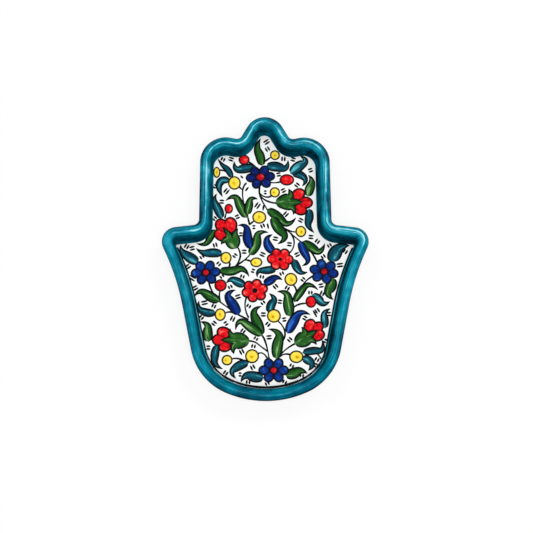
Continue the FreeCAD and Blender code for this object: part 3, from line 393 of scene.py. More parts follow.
def brush_path(places, count, steps=24):
    """Even steps on a curve through the places: each span is a cubic sloped by the chord of its neighbours.

    The neighbour beyond each end goes on as the parabola of the last three places, so a leaf's tail hooks.
    """
    place = np.reshape(places, (-1, 2)).astype(float)
    if len(place) < 3:
        ends = 2 * place - place[::-1]
    else:
        ends = [3 * place[0] - 3 * place[1] + place[2], 3 * place[-1] - 3 * place[-2] + place[-3]]
    place = np.vstack([ends[0], place, ends[-1]])
    step = np.linspace(0, 1, steps, endpoint=False)[None, :, None]
    a, b, c, d = (place[first:len(place) - 3 + first, None] for first in range(4))
    curve = b + 0.5 * step * (c - a + step * (2 * a - 5 * b + 4 * c - d + step * (3 * b - a - 3 * c + d)))
    curve = np.vstack([curve.reshape(-1, 2), place[-2]])
    way = way_along(curve)
    even = np.linspace(0, way[-1], count)
    return np.column_stack([np.interp(even, way, curve[:, 0]), np.interp(even, way, curve[:, 1])])


def around_rings(row, next_row, around):
    """The faces between rings with these first points, and the steps round a ring with those after them."""
    here = np.arange(around)
    there = (here + 1) % around
    quads = np.stack([row + here, next_row + here, next_row + there, row + there], -1).reshape(-1, 4)
    return quads, here, there


def stroke(path, half, base, rise, flatness=1.0, around=12):
    """A closed brush stroke along a path of squares: (points, quads, triangles, brush coordinates).

    At each step a half-oval stands across the path, half wide and rise high; its height goes as the sine of
    the angle round it to the power of the flatness, and its foot is sunk in the floor. Both ends are pointed.
    """
    path = (path + MIDDLE) * SQUARE
    half = np.broadcast_to(half, len(path)) * SQUARE
    along = np.gradient(path, axis=0)
    along /= np.linalg.norm(along, axis=1)[:, None]
    aside = np.column_stack([-along[:, 1], along[:, 0]])
    ends = np.vstack([path[0] - along[0] * half[0], path[-1] + along[-1] * half[-1]])
    angle = 2 * np.pi * np.arange(around) / around
    wide, high = np.cos(angle), np.sin(angle).round(6)
    height = np.where(high >= 0, base + rise * np.abs(high) ** flatness, UNDERSIDE)
    flat = path[:, None] + aside[:, None] * (half[:, None] * wide)[..., None]
    rings = np.concatenate([flat, np.broadcast_to(height, flat.shape[:2])[..., None]], 2)
    points = np.vstack([rings.reshape(-1, 3), np.column_stack([ends, [base + rise / 3] * 2])])
    share = np.linspace(0, 1, len(path))
    brush = np.stack([np.repeat(share, around), np.tile(0.5 + wide / 2, len(path))], 1)
    brush = np.vstack([brush, [(0, 0.5), (1, 0.5)]])
    ring = np.arange(len(path) - 1)[:, None] * around
    quads, here, there = around_rings(ring, ring + around, around)
    quads = quads[:, [0, 3, 2, 1]]
    last, tail = (len(path) - 1) * around, len(points) - 2
    first_fan = np.column_stack([np.full(around, tail), there, here])
    last_fan = np.column_stack([np.full(around, tail + 1), last + here, last + there])
    return points, quads, np.vstack([first_fan, last_fan]), brush


def drop(middle, halves, lean, base, rise, flatness=1.0, rings=6, around=28):
    """A closed drop, oval or round, about a middle in squares: (points, quads, triangles, brush coordinates).

    Its height over the base goes as the root of one less the squared share of the way out, to the power of
    the flatness; the brush coordinates run from 0 to 1 across its two ways.
    """
    share = np.sin(np.pi / 2 * np.arange(1, rings + 1) / rings)
    angle = 2 * np.pi * np.arange(around) / around
    local = share[:, None, None] * np.stack([np.cos(angle), np.sin(angle)], -1)
    c, s = math.cos(math.radians(lean)), math.sin(math.radians(lean))
    turned = local * np.asarray(halves) @ np.array([[c, s], [-s, c]])
    height = base + rise * np.sqrt(np.maximum(1 - share ** 2, 0)) ** flatness
    middle = (middle + MIDDLE) * SQUARE
    flat = middle + turned * SQUARE
    top = np.concatenate([flat, np.broadcast_to(height[:, None, None], (rings, around, 1))], 2).reshape(-1, 3)
    skirt = np.column_stack([flat[-1], np.full(around, UNDERSIDE)])
    poles = np.array([(*middle, base + rise), (*middle, UNDERSIDE)])
    brush = np.vstack([0.5 + local.reshape(-1, 2) / 2, 0.5 + local[-1] / 2, [(0.5, 0.5)] * 2])
    ring = np.arange(rings)[:, None] * around
    quads, here, there = around_rings(ring, ring + around, around)
    pole = (rings + 1) * around
    top_fan = np.column_stack([np.full(around, pole), here, there])
    under_fan = np.column_stack([np.full(around, pole + 1), rings * around + there, rings * around + here])
    return np.vstack([top, skirt, poles]), quads, np.vstack([top_fan, under_fan]), brush


def leaf_halves(half, base_power=0.62, tip_power=1.0, widest=0.34, tail=0.4, thinning=0.55):
    """Half widths along a leaf: a sine up to the widest place and down again, each side to its power.

    A low power makes an end round and a high one lets it run out into its tail, which thins towards the tip.
    """
    share = np.linspace(0, 1, LEAF_STEPS)
    swell = np.sin(np.pi * share ** (math.log(0.5) / math.log(widest))).clip(0)
    power = np.where(share < widest, base_power, tip_power)
    return tail * (1 - thinning * share) + (half - tail) * swell ** power


def level(kind, place=0):
    """Height of a level of the painting; neighbours in a table lie half a step apart."""
    return FLOOR + LEVEL_STEP * (LEVELS[kind] + 0.5 * (place % 2))


def thin_stroke(path, half, kind):
    """A black stroke of few faces that stands by itself."""
    return stroke(path, half, level(kind), ENAMEL_OVER_LINE, STROKE_FLATNESS, STROKE_SIDES)


def leaf_pair(places, halves, base):
    """The black stroke of a leaf, and over it on the same path its enamel, a line's width narrower."""
    sizes = bpy.context.scene.hamsa_sizes
    path = brush_path(places, LEAF_STEPS)
    inner = halves - sizes.line_width / SQUARE
    filled = inner > LEAST_HALF
    return (stroke(path, halves, base, ENAMEL_OVER_LINE, OUTLINE_FLATNESS),
            stroke(path[filled], inner[filled], base + ENAMEL_OVER_LINE, sizes.relief))


def drop_pair(middle, halves, base, lean=0, line=1.0, lift=0.0, flatness=1.0, relief=1.0):
    """A black drop, and over it its enamel, smaller all round by so many lines' widths and lifted."""
    sizes = bpy.context.scene.hamsa_sizes
    inner = np.asarray(halves) - line * sizes.line_width / SQUARE
    return (drop(middle, halves, lean, base, ENAMEL_OVER_LINE, OUTLINE_FLATNESS),
            drop(middle, inner, lean, base + ENAMEL_OVER_LINE + lift, sizes.relief * relief, flatness))


def petal_pairs(x, y, turn, ring, petal, base):
    """Six petals as pairs of drops, each 60 degrees further round an oval ring and leaning outwards."""
    ways = [(lean, math.radians(lean)) for lean in turn + 60 * np.arange(6)]
    return [drop_pair((x + ring[0] * math.cos(way), y + ring[1] * math.sin(way)), petal, base, lean)
            for lean, way in ways]


def add_node(tree, kind, inputs=(), stops=(), **settings):
    """Adds one shader node with its settings and its ramp's stops, and sets or links its inputs.

    The inputs are a dictionary by name, or a list in the node's own order, such as a map range's value, from
    and to, and results there. A node among them stands for its first output.
    """
    node = tree.nodes.new("ShaderNode" + kind)
    for name, value in settings.items():
        setattr(node, name, value)
    if stops:
        elements = node.color_ramp.elements
        while len(elements) < len(stops):
            elements.new(0.5)
        for element, (place, colour) in zip(elements, stops):
            element.position = place
            element.color = (*shade(colour), 1)
    for key, value in (inputs.items() if isinstance(inputs, dict) else enumerate(inputs)):
        if isinstance(value, bpy.types.Node):
            value = value.outputs[0]
        if isinstance(value, bpy.types.NodeSocket):
            tree.links.new(value, node.inputs[key])
        else:
            node.inputs[key].default_value = value
    return node


def finish_surface(put, colour, grain, rough, bump, specular=0.5, coat=0.0, height=None):
    """Joins a colour, a roughness that runs between two values with the grain, and a clear coat to a surface.

    The surface rises by the bump's distance with the height, or else with the grain.
    """
    roughness = put("MapRange", [grain, 0.0, 1.0, *rough])
    relief = put("Bump", {"Height": grain if height is None else height, "Distance": bump, "Strength": 1.0})
    put("OutputMaterial", {"Surface": put("BsdfPrincipled", {
        "Base Color": colour, "Roughness": roughness, "IOR": 1.5, "Specular IOR Level": specular,
        "Normal": relief, "Coat Weight": coat, "Coat Roughness": 0.14, "Coat Normal": relief})})


def turquoise_glaze(put):
    """Turquoise alkaline glaze brushed on along the rim.

    It gives streaks that run with the brush, thin over the crest and pooled on the walls, and carries painted
    shade on the walls, painted light on the left inner wall and painted highlights along the crest.
    """
    place = put("UVMap", uv_map="brush")
    over = put("SeparateXYZ", [place]).outputs["Y"]
    body = put("SeparateXYZ", [put("TexCoord").outputs["Object"]]).outputs
    x, y = body["X"], body["Y"]
    # Streaks 1 mm apart across the brush and some 20 mm long, with slow clouds 12 mm wide between brush loads
    stretched = put("Mapping", {"Vector": place, "Scale": (0.05, 1.3, 1.0)})
    streaks = put("TexNoise", {"Vector": stretched, "Scale": 1.0, "Detail": 4.0, "Roughness": 0.6})
    cloud = put("TexNoise", {"Vector": place, "Scale": 0.08, "Detail": 3.0, "Roughness": 0.55})
    half = put("Math", [put("Math", [streaks, cloud], operation="ADD"), 0.5], operation="MULTIPLY")
    # Share of the way over the profile, which the ranges below read with the place on the body in metres
    depth = put("MapRange", [over, 0.0, PROFILE_WAY])
    ran, bold, rolled, inner, facing, palm, cove, wrist, side, drawn, wrist_left_highlight, darker = (
        put("MapRange", values) for values in (
            (y, 0.0, 0.02, -0.006, 0.028),      # on fingers the glaze and painted shade lie 1 mm further in over the roll
            (y, 0.0, 0.02, 1.9, 3.0),           # the streaks are bold on the fingers, calmer on the palm
            (depth, 0.3, 0.44, 0.3, 1.0),       # and faint on the outer wall
            (depth, 0.66, 0.74, 0.0, 0.13),     # the inner wall
            (x, 0.005, -0.025, 0.0, 1.0),       # is painted lighter on the left, which faces the light
            (y, 0.01, 0.004, 0.0, 1.0),         # the palm
            (depth, 0.957, 0.975, 0.0, 0.58),   # has a pale line where glaze drew back from the floor, partly a painted highlight
            (y, WRIST_TOP, WRIST_TOP - WRIST_SPAN, 0.0, 1.0),
            (x, -0.04, 0.04, 0.59, 0.555),      # the painted highlight on the crest lies a little further in on the left
            (y, 0.0, 0.02, 0.12, 0.62),         # and has more painted highlight streaks on the fingers
            (x, -0.008, -0.022, 0.0, 0.5),      # and on the wrist's left half
            (y, -0.02, -0.075, 0.0, -0.13),     # the whole is darker towards the wrist
        ))
    # Pooled glaze and painted shade: dark on the outer wall, clear over the roll, dark where it ran down
    # inside
    pooled = put("ValToRGB", [put("Math", [depth, ran], operation="SUBTRACT")], stops=[
        (0.0, 0.12), (0.30, 0.15), (0.38, 0.17), (0.43, 0.21), (0.48, 0.37), (0.56, 0.56), (0.62, 0.50),
        (0.67, 0.34), (0.72, 0.21), (0.78, 0.16), (0.97, 0.13)])
    strength = put("Math", [bold, rolled], operation="MULTIPLY")
    # Painted light on the inner wall's left side, laid over the pooled glaze and its painted shade
    lit = put("Math", [inner, facing, pooled], operation="MULTIPLY_ADD")
    uneven = put("Math", [half, 0.5], operation="SUBTRACT")
    wall = put("Math", [uneven, strength, lit], operation="MULTIPLY_ADD", use_clamp=True)
    # The palm's pale cove line is thin glaze with a painted highlight on it
    thin = put("Math", [palm, cove], operation="MULTIPLY")
    # Broken painted highlight streaks run along the crest, and at the wrist on the roll's inner side
    crest = put("Math", [wrist, 0.085, side], operation="MULTIPLY_ADD")
    away = put("Math", [put("Math", [depth, crest], operation="SUBTRACT")], operation="ABSOLUTE")
    highlight_strength = put("Math", [wrist, wrist_left_highlight, drawn], operation="MULTIPLY_ADD")
    near = put("MapRange", [away, 0.0, 0.024, highlight_strength, 0.0])
    run = put("Mapping", {"Vector": place, "Scale": (0.06, 0.5, 1.0), "Location": (3.0, 7.0, 0.0)})
    highlight_breaks = put("TexNoise", {"Vector": run, "Scale": 1.0, "Detail": 3.0, "Roughness": 0.7})
    lights = put("Math", [near, put("MapRange", [highlight_breaks, 0.4, 0.57]), thin], operation="MULTIPLY_ADD")
    dimmed = put("Math", [wall, darker], operation="ADD")
    tone = put("Math", [dimmed, lights], operation="ADD", use_clamp=True)
    # The painted highlights lift the tone up to the palest stop
    colour = put("ValToRGB", [tone], stops=[
        (0.0, "glaze_pooled"), (0.25, "glaze_deep"), (0.55, "glaze_middle"), (0.8, "glaze_thin"),
        (1.0, "#9fe3ea")])
    # The gloss is full over the roll, lost where the glaze ran down to the floor, and worn at the wrist
    shine = put("ValToRGB", [depth], stops=[
        (0.0, 0.03), (0.45, 0.08), (0.53, 0.34), (0.63, 0.28), (0.69, 0.0), (0.96, 0.0)])
    patch = put("MapRange", [streaks, 0.4, 0.62, 0.1])
    kept = put("Math", [patch, put("MapRange", [wrist, 0.0, 1.0, 1.0, 0.35])], operation="MULTIPLY")
    gloss = put("Math", [shine, kept], operation="MULTIPLY")
    finish_surface(put, colour, cloud, (0.3, 0.5), 0.12 * MM, 0.0, gloss, half)


def white_glaze(put):
    """White opaque tin glaze poured on: almost even, with cool clouds 17 mm wide and a ripple of 7 mm."""
    place = put("TexCoord").outputs["Object"]
    cloud = put("TexNoise", {"Vector": place, "Scale": 60.0, "Detail": 3.0, "Roughness": 0.5})
    ripple = put("TexNoise", {"Vector": place, "Scale": 140.0, "Detail": 1.0})
    colour = put("ValToRGB", [cloud], stops=[(0.3, "#f3f8f8"), (0.6, "ground")])
    finish_surface(put, colour, ripple, (0.08, 0.18), 0.05 * MM)


def bisque(put):
    """Unglazed fired clay of the foot: matt and sandy, with fine dark specks of grit about 1 mm apart."""
    place = put("TexCoord").outputs["Object"]
    grain = put("TexNoise", {"Vector": place, "Scale": 900.0, "Detail": 4.0, "Roughness": 0.7})
    patch = put("TexNoise", {"Vector": place, "Scale": 40.0, "Detail": 3.0})
    both = put("Math", [grain, patch], operation="MULTIPLY")
    colour = put("ValToRGB", [both], stops=[(0.08, "#8f7660"), (0.2, "#cbb097"), (0.4, "#dcc6b0")])
    finish_surface(put, colour, grain, (0.75, 0.95), 0.15 * MM, 0.3)


def drawn_line(put):
    """Black manganese line drawn with a liner brush: dense, and a little greener where it is thin."""
    load = put("TexNoise", {"Vector": put("TexCoord").outputs["Object"], "Scale": 450.0, "Detail": 3.0,
                            "Roughness": 0.6})
    colour = put("ValToRGB", [load], stops=[(0.35, "line"), (0.6, "#101a1c"), (0.8, "#2a3234")])
    finish_surface(put, colour, load, (0.1, 0.25), 0.02 * MM, 0.05)


def brushed_enamel(put, dark, middle, light, vein):
    """Translucent enamel filled in with one pull of the brush along a leaf.

    It gives pigment pooled dark at the edges, streaks along the leaf, and here and there a pale vein where
    the brush lifted; each leaf has its own tone.
    """
    tone = put("Attribute", attribute_name="tone").outputs["Fac"]
    along, across, _ = put("SeparateXYZ", [put("UVMap", uv_map="brush")]).outputs
    # Some five streaks across the leaf, each about half its length long
    apart = put("CombineXYZ", [along, across, tone])
    stretched = put("Mapping", {"Vector": apart, "Scale": (2.2, 5.0, 40.0)})
    streaks = put("TexNoise", {"Vector": stretched, "Scale": 1.0, "Detail": 3.0, "Roughness": 0.6})
    # Distance from the vein, which each leaf's own tone pushes to one side
    side = put("MapRange", [tone, 0.0, 1.0, 0.32, 0.68])
    away = put("Math", [put("Math", [across, side], operation="SUBTRACT")], operation="ABSOLUTE")
    pool = put("MapRange", [away, 0.12, 0.55, 0.12, -0.28])
    body = put("Math", [streaks, pool], operation="ADD")
    load = put("Math", [body, put("MapRange", [tone, 0.0, 1.0, -0.08, 0.10])], operation="ADD")
    line = put("MapRange", [away, 0.0, 0.19, vein, 0.0], interpolation_type="SMOOTHSTEP")
    pale = put("Math", [line, put("MapRange", [streaks, 0.46, 0.64])], operation="MULTIPLY")
    depth = put("Math", [load, pale], operation="ADD", use_clamp=True)
    colour = put("ValToRGB", [depth], stops=[(0.28, dark), (0.49, middle), (0.62, middle), (0.88, light)])
    finish_surface(put, colour, streaks, (0.1, 0.25), 0.04 * MM, 0.06)


def dabbed_enamel(put, dark, middle, light):
    """Enamel dabbed on with a full round brush: dense near the flower's heart, thinner outwards.

    It gives soft mottles about 2 mm wide and a thin darker ring where the pigment settled at the dab's edge.
    """
    place = put("UVMap", uv_map="brush")
    tone = put("Attribute", attribute_name="tone").outputs["Fac"]
    mottle = put("TexNoise", {"Vector": put("TexCoord").outputs["Object"], "Scale": 480.0, "Detail": 3.0,
                              "Roughness": 0.55})
    outward = put("MapRange", [put("SeparateXYZ", [place]), 0.0, 1.0, -0.12, 0.12])
    centred = put("VectorMath", [place, (0.5, 0.5, 0.0)], operation="DISTANCE").outputs["Value"]
    ring = put("MapRange", [centred, 0.4, 0.5, 0.0, -0.3])
    body = put("Math", [mottle, put("Math", [outward, ring], operation="ADD")], operation="ADD")
    own = put("MapRange", [tone, 0.0, 1.0, -0.08, 0.08])
    load = put("Math", [body, own], operation="ADD", use_clamp=True)
    colour = put("ValToRGB", [load], stops=[(0.26, dark), (0.46, middle), (0.57, middle), (0.78, light)])
    finish_surface(put, colour, mottle, (0.1, 0.25), 0.03 * MM, 0.06)


def berry_enamel(put):
    """Yellow enamel over a brown dab: an amber blot left of the middle, and a painted highlight at the other
    side.
    """
    place = put("UVMap", uv_map="brush")
    tone = put("Attribute", attribute_name="tone").outputs["Fac"]
    mottle = put("TexNoise", {"Vector": put("TexCoord").outputs["Object"], "Scale": 700.0, "Detail": 3.0,
                              "Roughness": 0.6})
    blot_at = put("CombineXYZ", [put("MapRange", [tone, 0.0, 1.0, 0.3, 0.56]), 0.46])
    blot = put("VectorMath", [place, blot_at], operation="DISTANCE").outputs["Value"]
    wobble = put("MapRange", [mottle, 0.3, 0.7, -0.12, 0.12])
    ragged = put("Math", [blot, wobble], operation="ADD")
    # Pale yellow far from the blot is a painted highlight
    ground = put("ValToRGB", [ragged], stops=[
        (0.0, "berry_blot"), (0.1, "#eabb20"), (0.2, "yellow"), (0.42, "#fdea62")])
    out = put("VectorMath", [place, (0.5, 0.5, 0.0)], operation="DISTANCE").outputs["Value"]
    edge = put("MapRange", [out, 0.40, 0.50])
    colour = put("Mix", {"Factor": edge, 6: ground, 7: (*linear("#e0b022"), 1)}, data_type="RGBA").outputs[2]
    finish_surface(put, colour, mottle, (0.1, 0.22), 0.03 * MM, 0.06)


def seen_white(put):
    """1 for rays from the camera, or by gloss or through glass, which see the background as white."""
    rays = put("LightPath").outputs
    seen = put("Math", [rays["Is Camera Ray"], rays["Is Glossy Ray"]], operation="MAXIMUM")
    return put("Math", [seen, rays["Is Transmission Ray"]], operation="MAXIMUM")


def white_paper(put):
    """White paper: seen directly, it gives out part of its white by itself, so shadows on it stay faint."""
    plain = put("BsdfDiffuse", {"Color": (*linear("#fbfbfb"), 1)})
    bright = put("Emission", {"Color": (1, 1, 1, 1), "Strength": 1.0})
    part = put("Math", [seen_white(put), PAPER_GLOW], operation="MULTIPLY")
    put("OutputMaterial", {"Surface": put("MixShader", [part, plain, bright])})


# Finishes by the name of their material: the record's slot, what makes the material, and an enamel's dark,
# middle and light colour, with the strength of its vein where it is brushed
FINISHES = {
    "turquoise_glaze_brushed": ("turquoise_glaze", turquoise_glaze),
    "white_tin_glaze_poured": ("white_glaze", white_glaze),
    "bisque_pressed_clay": ("bisque", bisque),
    "black_line_drawn": ("black_line", drawn_line),
    "green_enamel_brushed": ("green_enamel", brushed_enamel, "#0c3f0e", "green", "#8cbb76", 0.18),
    "green_enamel_filled": ("green_enamel", brushed_enamel, "#10440f", "green", "#8fbc78", 0.04),
    "teal_enamel_brushed": ("teal_enamel", brushed_enamel, "#053644", "teal", "#5cc3cf", 0.18),
    "blue_enamel_brushed": ("blue_enamel", brushed_enamel, "#04155a", "blue", "#3574cc", 0.15),
    "cobalt_enamel_dabbed": ("blue_enamel", dabbed_enamel, "#04165e", "blue", "#2f6cc8"),
    "navy_enamel_dabbed": ("navy_enamel", dabbed_enamel, "#020836", "#081e6a", "#1a4cae"),
    "red_enamel_dabbed": ("red_enamel", dabbed_enamel, "#a0000c", "red", "#ff7a6e"),
    "eye_enamel_dabbed": ("red_enamel", dabbed_enamel, "#6e0612", "#c80e22", "#ff4a48"),
    "yellow_enamel_dabbed": ("yellow_enamel", berry_enamel),
    "white_paper": (None, white_paper),
}


def made(name):
    """The material of this finish, made once."""
    material = bpy.data.materials.get(name)
    if material is None:
        material = bpy.data.materials.new(name)
        material.use_nodes = True
        material.node_tree.nodes.clear()
        make, *values = FINISHES[name][1:]
        make(functools.partial(add_node, material.node_tree), *values)
    return material


def add_piece(name, shapes, finish, node, seed=0):
    """One closed object from several shapes, with their brush coordinates and a tone for each shape."""
    tones = np.random.default_rng(seed).uniform(0, 1, len(shapes))
    counts = [len(points) for points, *_ in shapes]
    starts = np.r_[0, np.cumsum(counts)]
    faces = sum(((quads + start).tolist() + (triangles + start).tolist()
                 for (_, quads, triangles, _), start in zip(shapes, starts)), [])
    brush = np.vstack([shape[3] for shape in shapes])
    mesh = bpy.data.meshes.new(name)
    mesh.from_pydata(np.vstack([shape[0] for shape in shapes]).tolist(), [], faces)
    mesh.polygons.foreach_set("use_smooth", np.ones(len(mesh.polygons), bool))
    corner = np.empty(len(mesh.loops), np.int32)
    mesh.loops.foreach_get("vertex_index", corner)
    mesh.uv_layers.new(name="brush").data.foreach_set("uv", brush[corner].ravel())
    mesh.attributes.new("tone", "FLOAT", "POINT").data.foreach_set("value", np.repeat(tones, counts))
    mesh.validate()
    mesh.materials.append(made(finish))
    piece = bpy.data.objects.new(name, mesh)
    bpy.context.scene.collection.objects.link(piece)
    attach(piece, "root")
    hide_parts(node)


def fill(node, pairs, finish, seed, outlines):
    """The enamels of pairs of shapes, which stand for a node; their black shapes join the outlines."""
    lines, enamels = zip(*pairs)
    outlines += lines
    add_piece(node + "_enamel", enamels, finish, node, seed)


def draw_black(name, shapes, node):
    """Black lines that stand for a node."""
    add_piece(name, shapes, "black_line_drawn", node)


def length_setting(name, description, default):
    """A length on the panel."""
    return bpy.props.FloatProperty(name=name, description=description, default=default, unit="LENGTH")


def colour_setting(name, description, code):
    """A colour on the panel, from its sRGB hex code."""
    return bpy.props.FloatVectorProperty(
        name=name, description=description, default=linear(code), subtype="COLOR")


class HamsaSizes(bpy.types.PropertyGroup):
    """Sizes of the rim and of the painter's brush."""
    tip_radius: length_setting("Fingertip radius", "Rounding of the middle fingertip", 12.8 * MM)
    thumb_radius: length_setting("Thumb radius", "Rounding of each thumb's tip", 9.2 * MM)
    roll_radius: length_setting("Roll radius", "Half round along the rim", 3.3 * MM)
    rim_wave: length_setting("Rim wave", "How far the hand-finished rim wanders up and down", 0.15 * MM)
    line_width: length_setting("Line width", "Black outline of leaves and flowers", 1.0 * MM)
    stem_width: length_setting("Stem width", "Black stems", 1.12 * MM)
    dash_width: length_setting("Dash width", "Short black dashes", 1.25 * MM)
    edge_width: length_setting("Edge line width", "Black line round the palm's floor", 0.9 * MM)
    relief: length_setting("Enamel relief", "How high the enamel stands over its outline", 0.008 * MM)
    leaf_swell: bpy.props.FloatProperty(
        name="Leaf swell", description="How much wider the brush spreads each leaf", default=1.2)


class HamsaColours(bpy.types.PropertyGroup):
    """Colours of the glazes and enamels."""
    glaze_pooled: colour_setting("Glaze, pooled", "Turquoise glaze where it ran together", "#012a37")
    glaze_deep: colour_setting("Glaze, deep", "Turquoise glaze on the walls", "#005870")
    glaze_middle: colour_setting("Glaze, middle", "Turquoise glaze over the roll", "#01839a")
    glaze_thin: colour_setting("Glaze, thin", "Turquoise glaze where the brush left little", "#22abc2")
    ground: colour_setting("Ground", "White glaze of the floor", "#fdfefd")
    line: colour_setting("Line", "Black drawn lines", "#07090b")
    green: colour_setting("Green", "Green leaves", "#256023")
    teal: colour_setting("Teal", "Teal leaves", "#065468")
    blue: colour_setting("Blue", "Blue leaves and flowers", "#053284")
    red: colour_setting("Red", "Carnations, rosettes and red berries", "#ea141e")
    yellow: colour_setting("Yellow", "Yellow berries", "#fbdd34")
    berry_blot: colour_setting("Berry blot", "Amber dab in the yellow berries", "#b9760a")


class HAMSA_OT_ware(bpy.types.Operator):
    """Gives the clay body and the floor glaze their finishes and lays the turquoise coat over the rim"""
    bl_idname = "hamsa.ware"
    bl_label = "Ware and glazes"

    def execute(self, context):
        sizes = context.scene.hamsa_sizes
        for node, finish in (("clay_body", "bisque_pressed_clay"), ("floor_glaze", "white_tin_glaze_poured")):
            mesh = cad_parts[node].data
            mesh.materials.clear()
            mesh.materials.append(made(finish))
        roll = sizes.roll_radius
        top = HEIGHT - roll
        # The outer wall is a quarter of an oval, and the half round and the inner wall with its cove follow
        side = np.radians(np.linspace(COAT_STOP, 0, 12))
        half_round = np.radians(np.linspace(0, 180, 25))[1:]
        profile = np.vstack([
            np.column_stack([COAT_INSET * (1 - np.cos(side)), top * (1 - np.sin(side))]),
            np.column_stack([roll * (1 - np.cos(half_round)), top + roll * np.sin(half_round)]),
            np.array(INNER_WALL) * MM,
        ])
        section = np.vstack([profile, np.array(COAT_UNDERSIDE) * MM])
        rows = hand_lines(section[:, 0])
        crest = rows[int(np.argmax(profile[:, 1]))]
        way = way_along(crest)
        period = way[-1] + np.linalg.norm(crest[0] - crest[-1])
        climb = way_along(profile)
        # The wave is full on the crest and dies out towards the foot and the floor
        hidden = np.zeros(len(COAT_UNDERSIDE))
        share = np.r_[np.sin(np.pi * climb / climb[-1]) ** 2, hidden]
        heights = section[:, 1:] + sizes.rim_wave * waves(way, period, 5) * share[:, None]
        points = np.concatenate([rows, heights[..., None]], 2).reshape(-1, 3)
        row = np.arange(len(section))[:, None] * len(way)
        quads, *_ = around_rings(row, np.roll(row, -1, 0), len(way))
        over = np.r_[climb, hidden + climb[-1]] / MM
        brush = np.stack(np.broadcast_arrays(way[None] / MM, over[:, None]), -1).reshape(-1, 2)
        coat = (points, quads, np.empty((0, 3), int), brush)
        add_piece("rim_coat", [coat], "turquoise_glaze_brushed", "rim_glaze")
        return {"FINISHED"}


class HAMSA_OT_lines(bpy.types.Operator):
    """Draws the stems, the dashes and the line round the palm's floor"""
    bl_idname = "hamsa.lines"
    bl_label = "Stems, dashes and edge line"

    def execute(self, context):
        sizes = context.scene.hamsa_sizes
        # A stem swells and thins by a slow sine, which starts elsewhere for each
        half = sizes.stem_width / 2 / SQUARE
        share = np.linspace(0, 1, STEM_STEPS)
        stems = [thin_stroke(brush_path(places, STEM_STEPS),
                             half * (1 + STEM_SWELL * np.sin(STEM_WAVE * share + start)), "ground")
                 for start, places in enumerate(STEMS)]
        draw_black("stem_strokes", stems, "stem_lines")
        dashes = []
        halves = sizes.dash_width / 2 / SQUARE * DASH_TAPER
        reach = np.linspace(-DASH_REACH, DASH_REACH, len(halves))[:, None]
        for table, offsets in ((DASH_PAIRS, (-DASH_OFFSET, DASH_OFFSET)), (LONE_DASHES, (0.0,))):
            for x, y, lean, length in table:
                way = math.radians(lean)
                along, aside = np.array([(math.cos(way), math.sin(way)), (-math.sin(way), math.cos(way))])
                for offset in offsets:
                    path = np.array([x, y]) + aside * offset + along * length * reach
                    dashes.append(thin_stroke(path, halves, "ground"))
        draw_black("dash_strokes", dashes, "dash_marks")
        near, far = hand_lines(EDGE_INSETS)
        palm = near[:, 1] < EDGE_TOP
        near, far = near[palm], far[palm]
        # At the wrist the line runs further in and is wider
        wrist = np.clip((WRIST_TOP - near[:, 1]) / WRIST_SPAN, 0, 1)
        path = (near + (far - near) * wrist[:, None]) / SQUARE - MIDDLE
        wave = waves(np.arange(len(path)), len(path), 3, 40)
        half = sizes.edge_width / 2 / SQUARE * (1 + EDGE_WANDER * wave) * (1 + EDGE_WIDENING * wrist)
        draw_black("edge_stroke", [thin_stroke(path, half, "edge")], "edge_line")
        return {"FINISHED"}


class HAMSA_OT_leaves(bpy.types.Operator):
    """Draws and fills the green, teal and blue leaves"""
    bl_idname = "hamsa.leaves"
    bl_label = "Leaves"

    def execute(self, context):
        swell = context.scene.hamsa_sizes.leaf_swell
        outlines = []
        for kind, table in (("green", GREEN_LEAVES), ("teal", TEAL_LEAVES), ("blue", BLUE_LEAVES)):
            for seed, (region, leaves) in enumerate(table.items(), 11):
                pairs = [leaf_pair(places, leaf_halves(half * swell), level(kind, place))
                         for place, (*places, half) in enumerate(leaves)]
                fill(f"{kind}_leaves_{region}", pairs, kind + "_enamel_brushed", seed, outlines)
        draw_black("leaf_outlines", outlines, "leaf_lines")
        return {"FINISHED"}


class HAMSA_OT_berries(bpy.types.Operator):
    """Draws and fills the yellow and the red berries"""
    bl_idname = "hamsa.berries"
    bl_label = "Berries"

    def execute(self, context):
        outlines = []
        for kind, table in (("yellow", YELLOW_BERRIES), ("red", RED_BERRIES)):
            pairs = [drop_pair((x, y), (across, up), level("berry"), line=BERRY_LINE)
                     for x, y, across, up in table]
            fill(kind + "_berries", pairs, kind + "_enamel_dabbed", 21, outlines)
        draw_black("berry_outlines", outlines, "berry_lines")
        return {"FINISHED"}


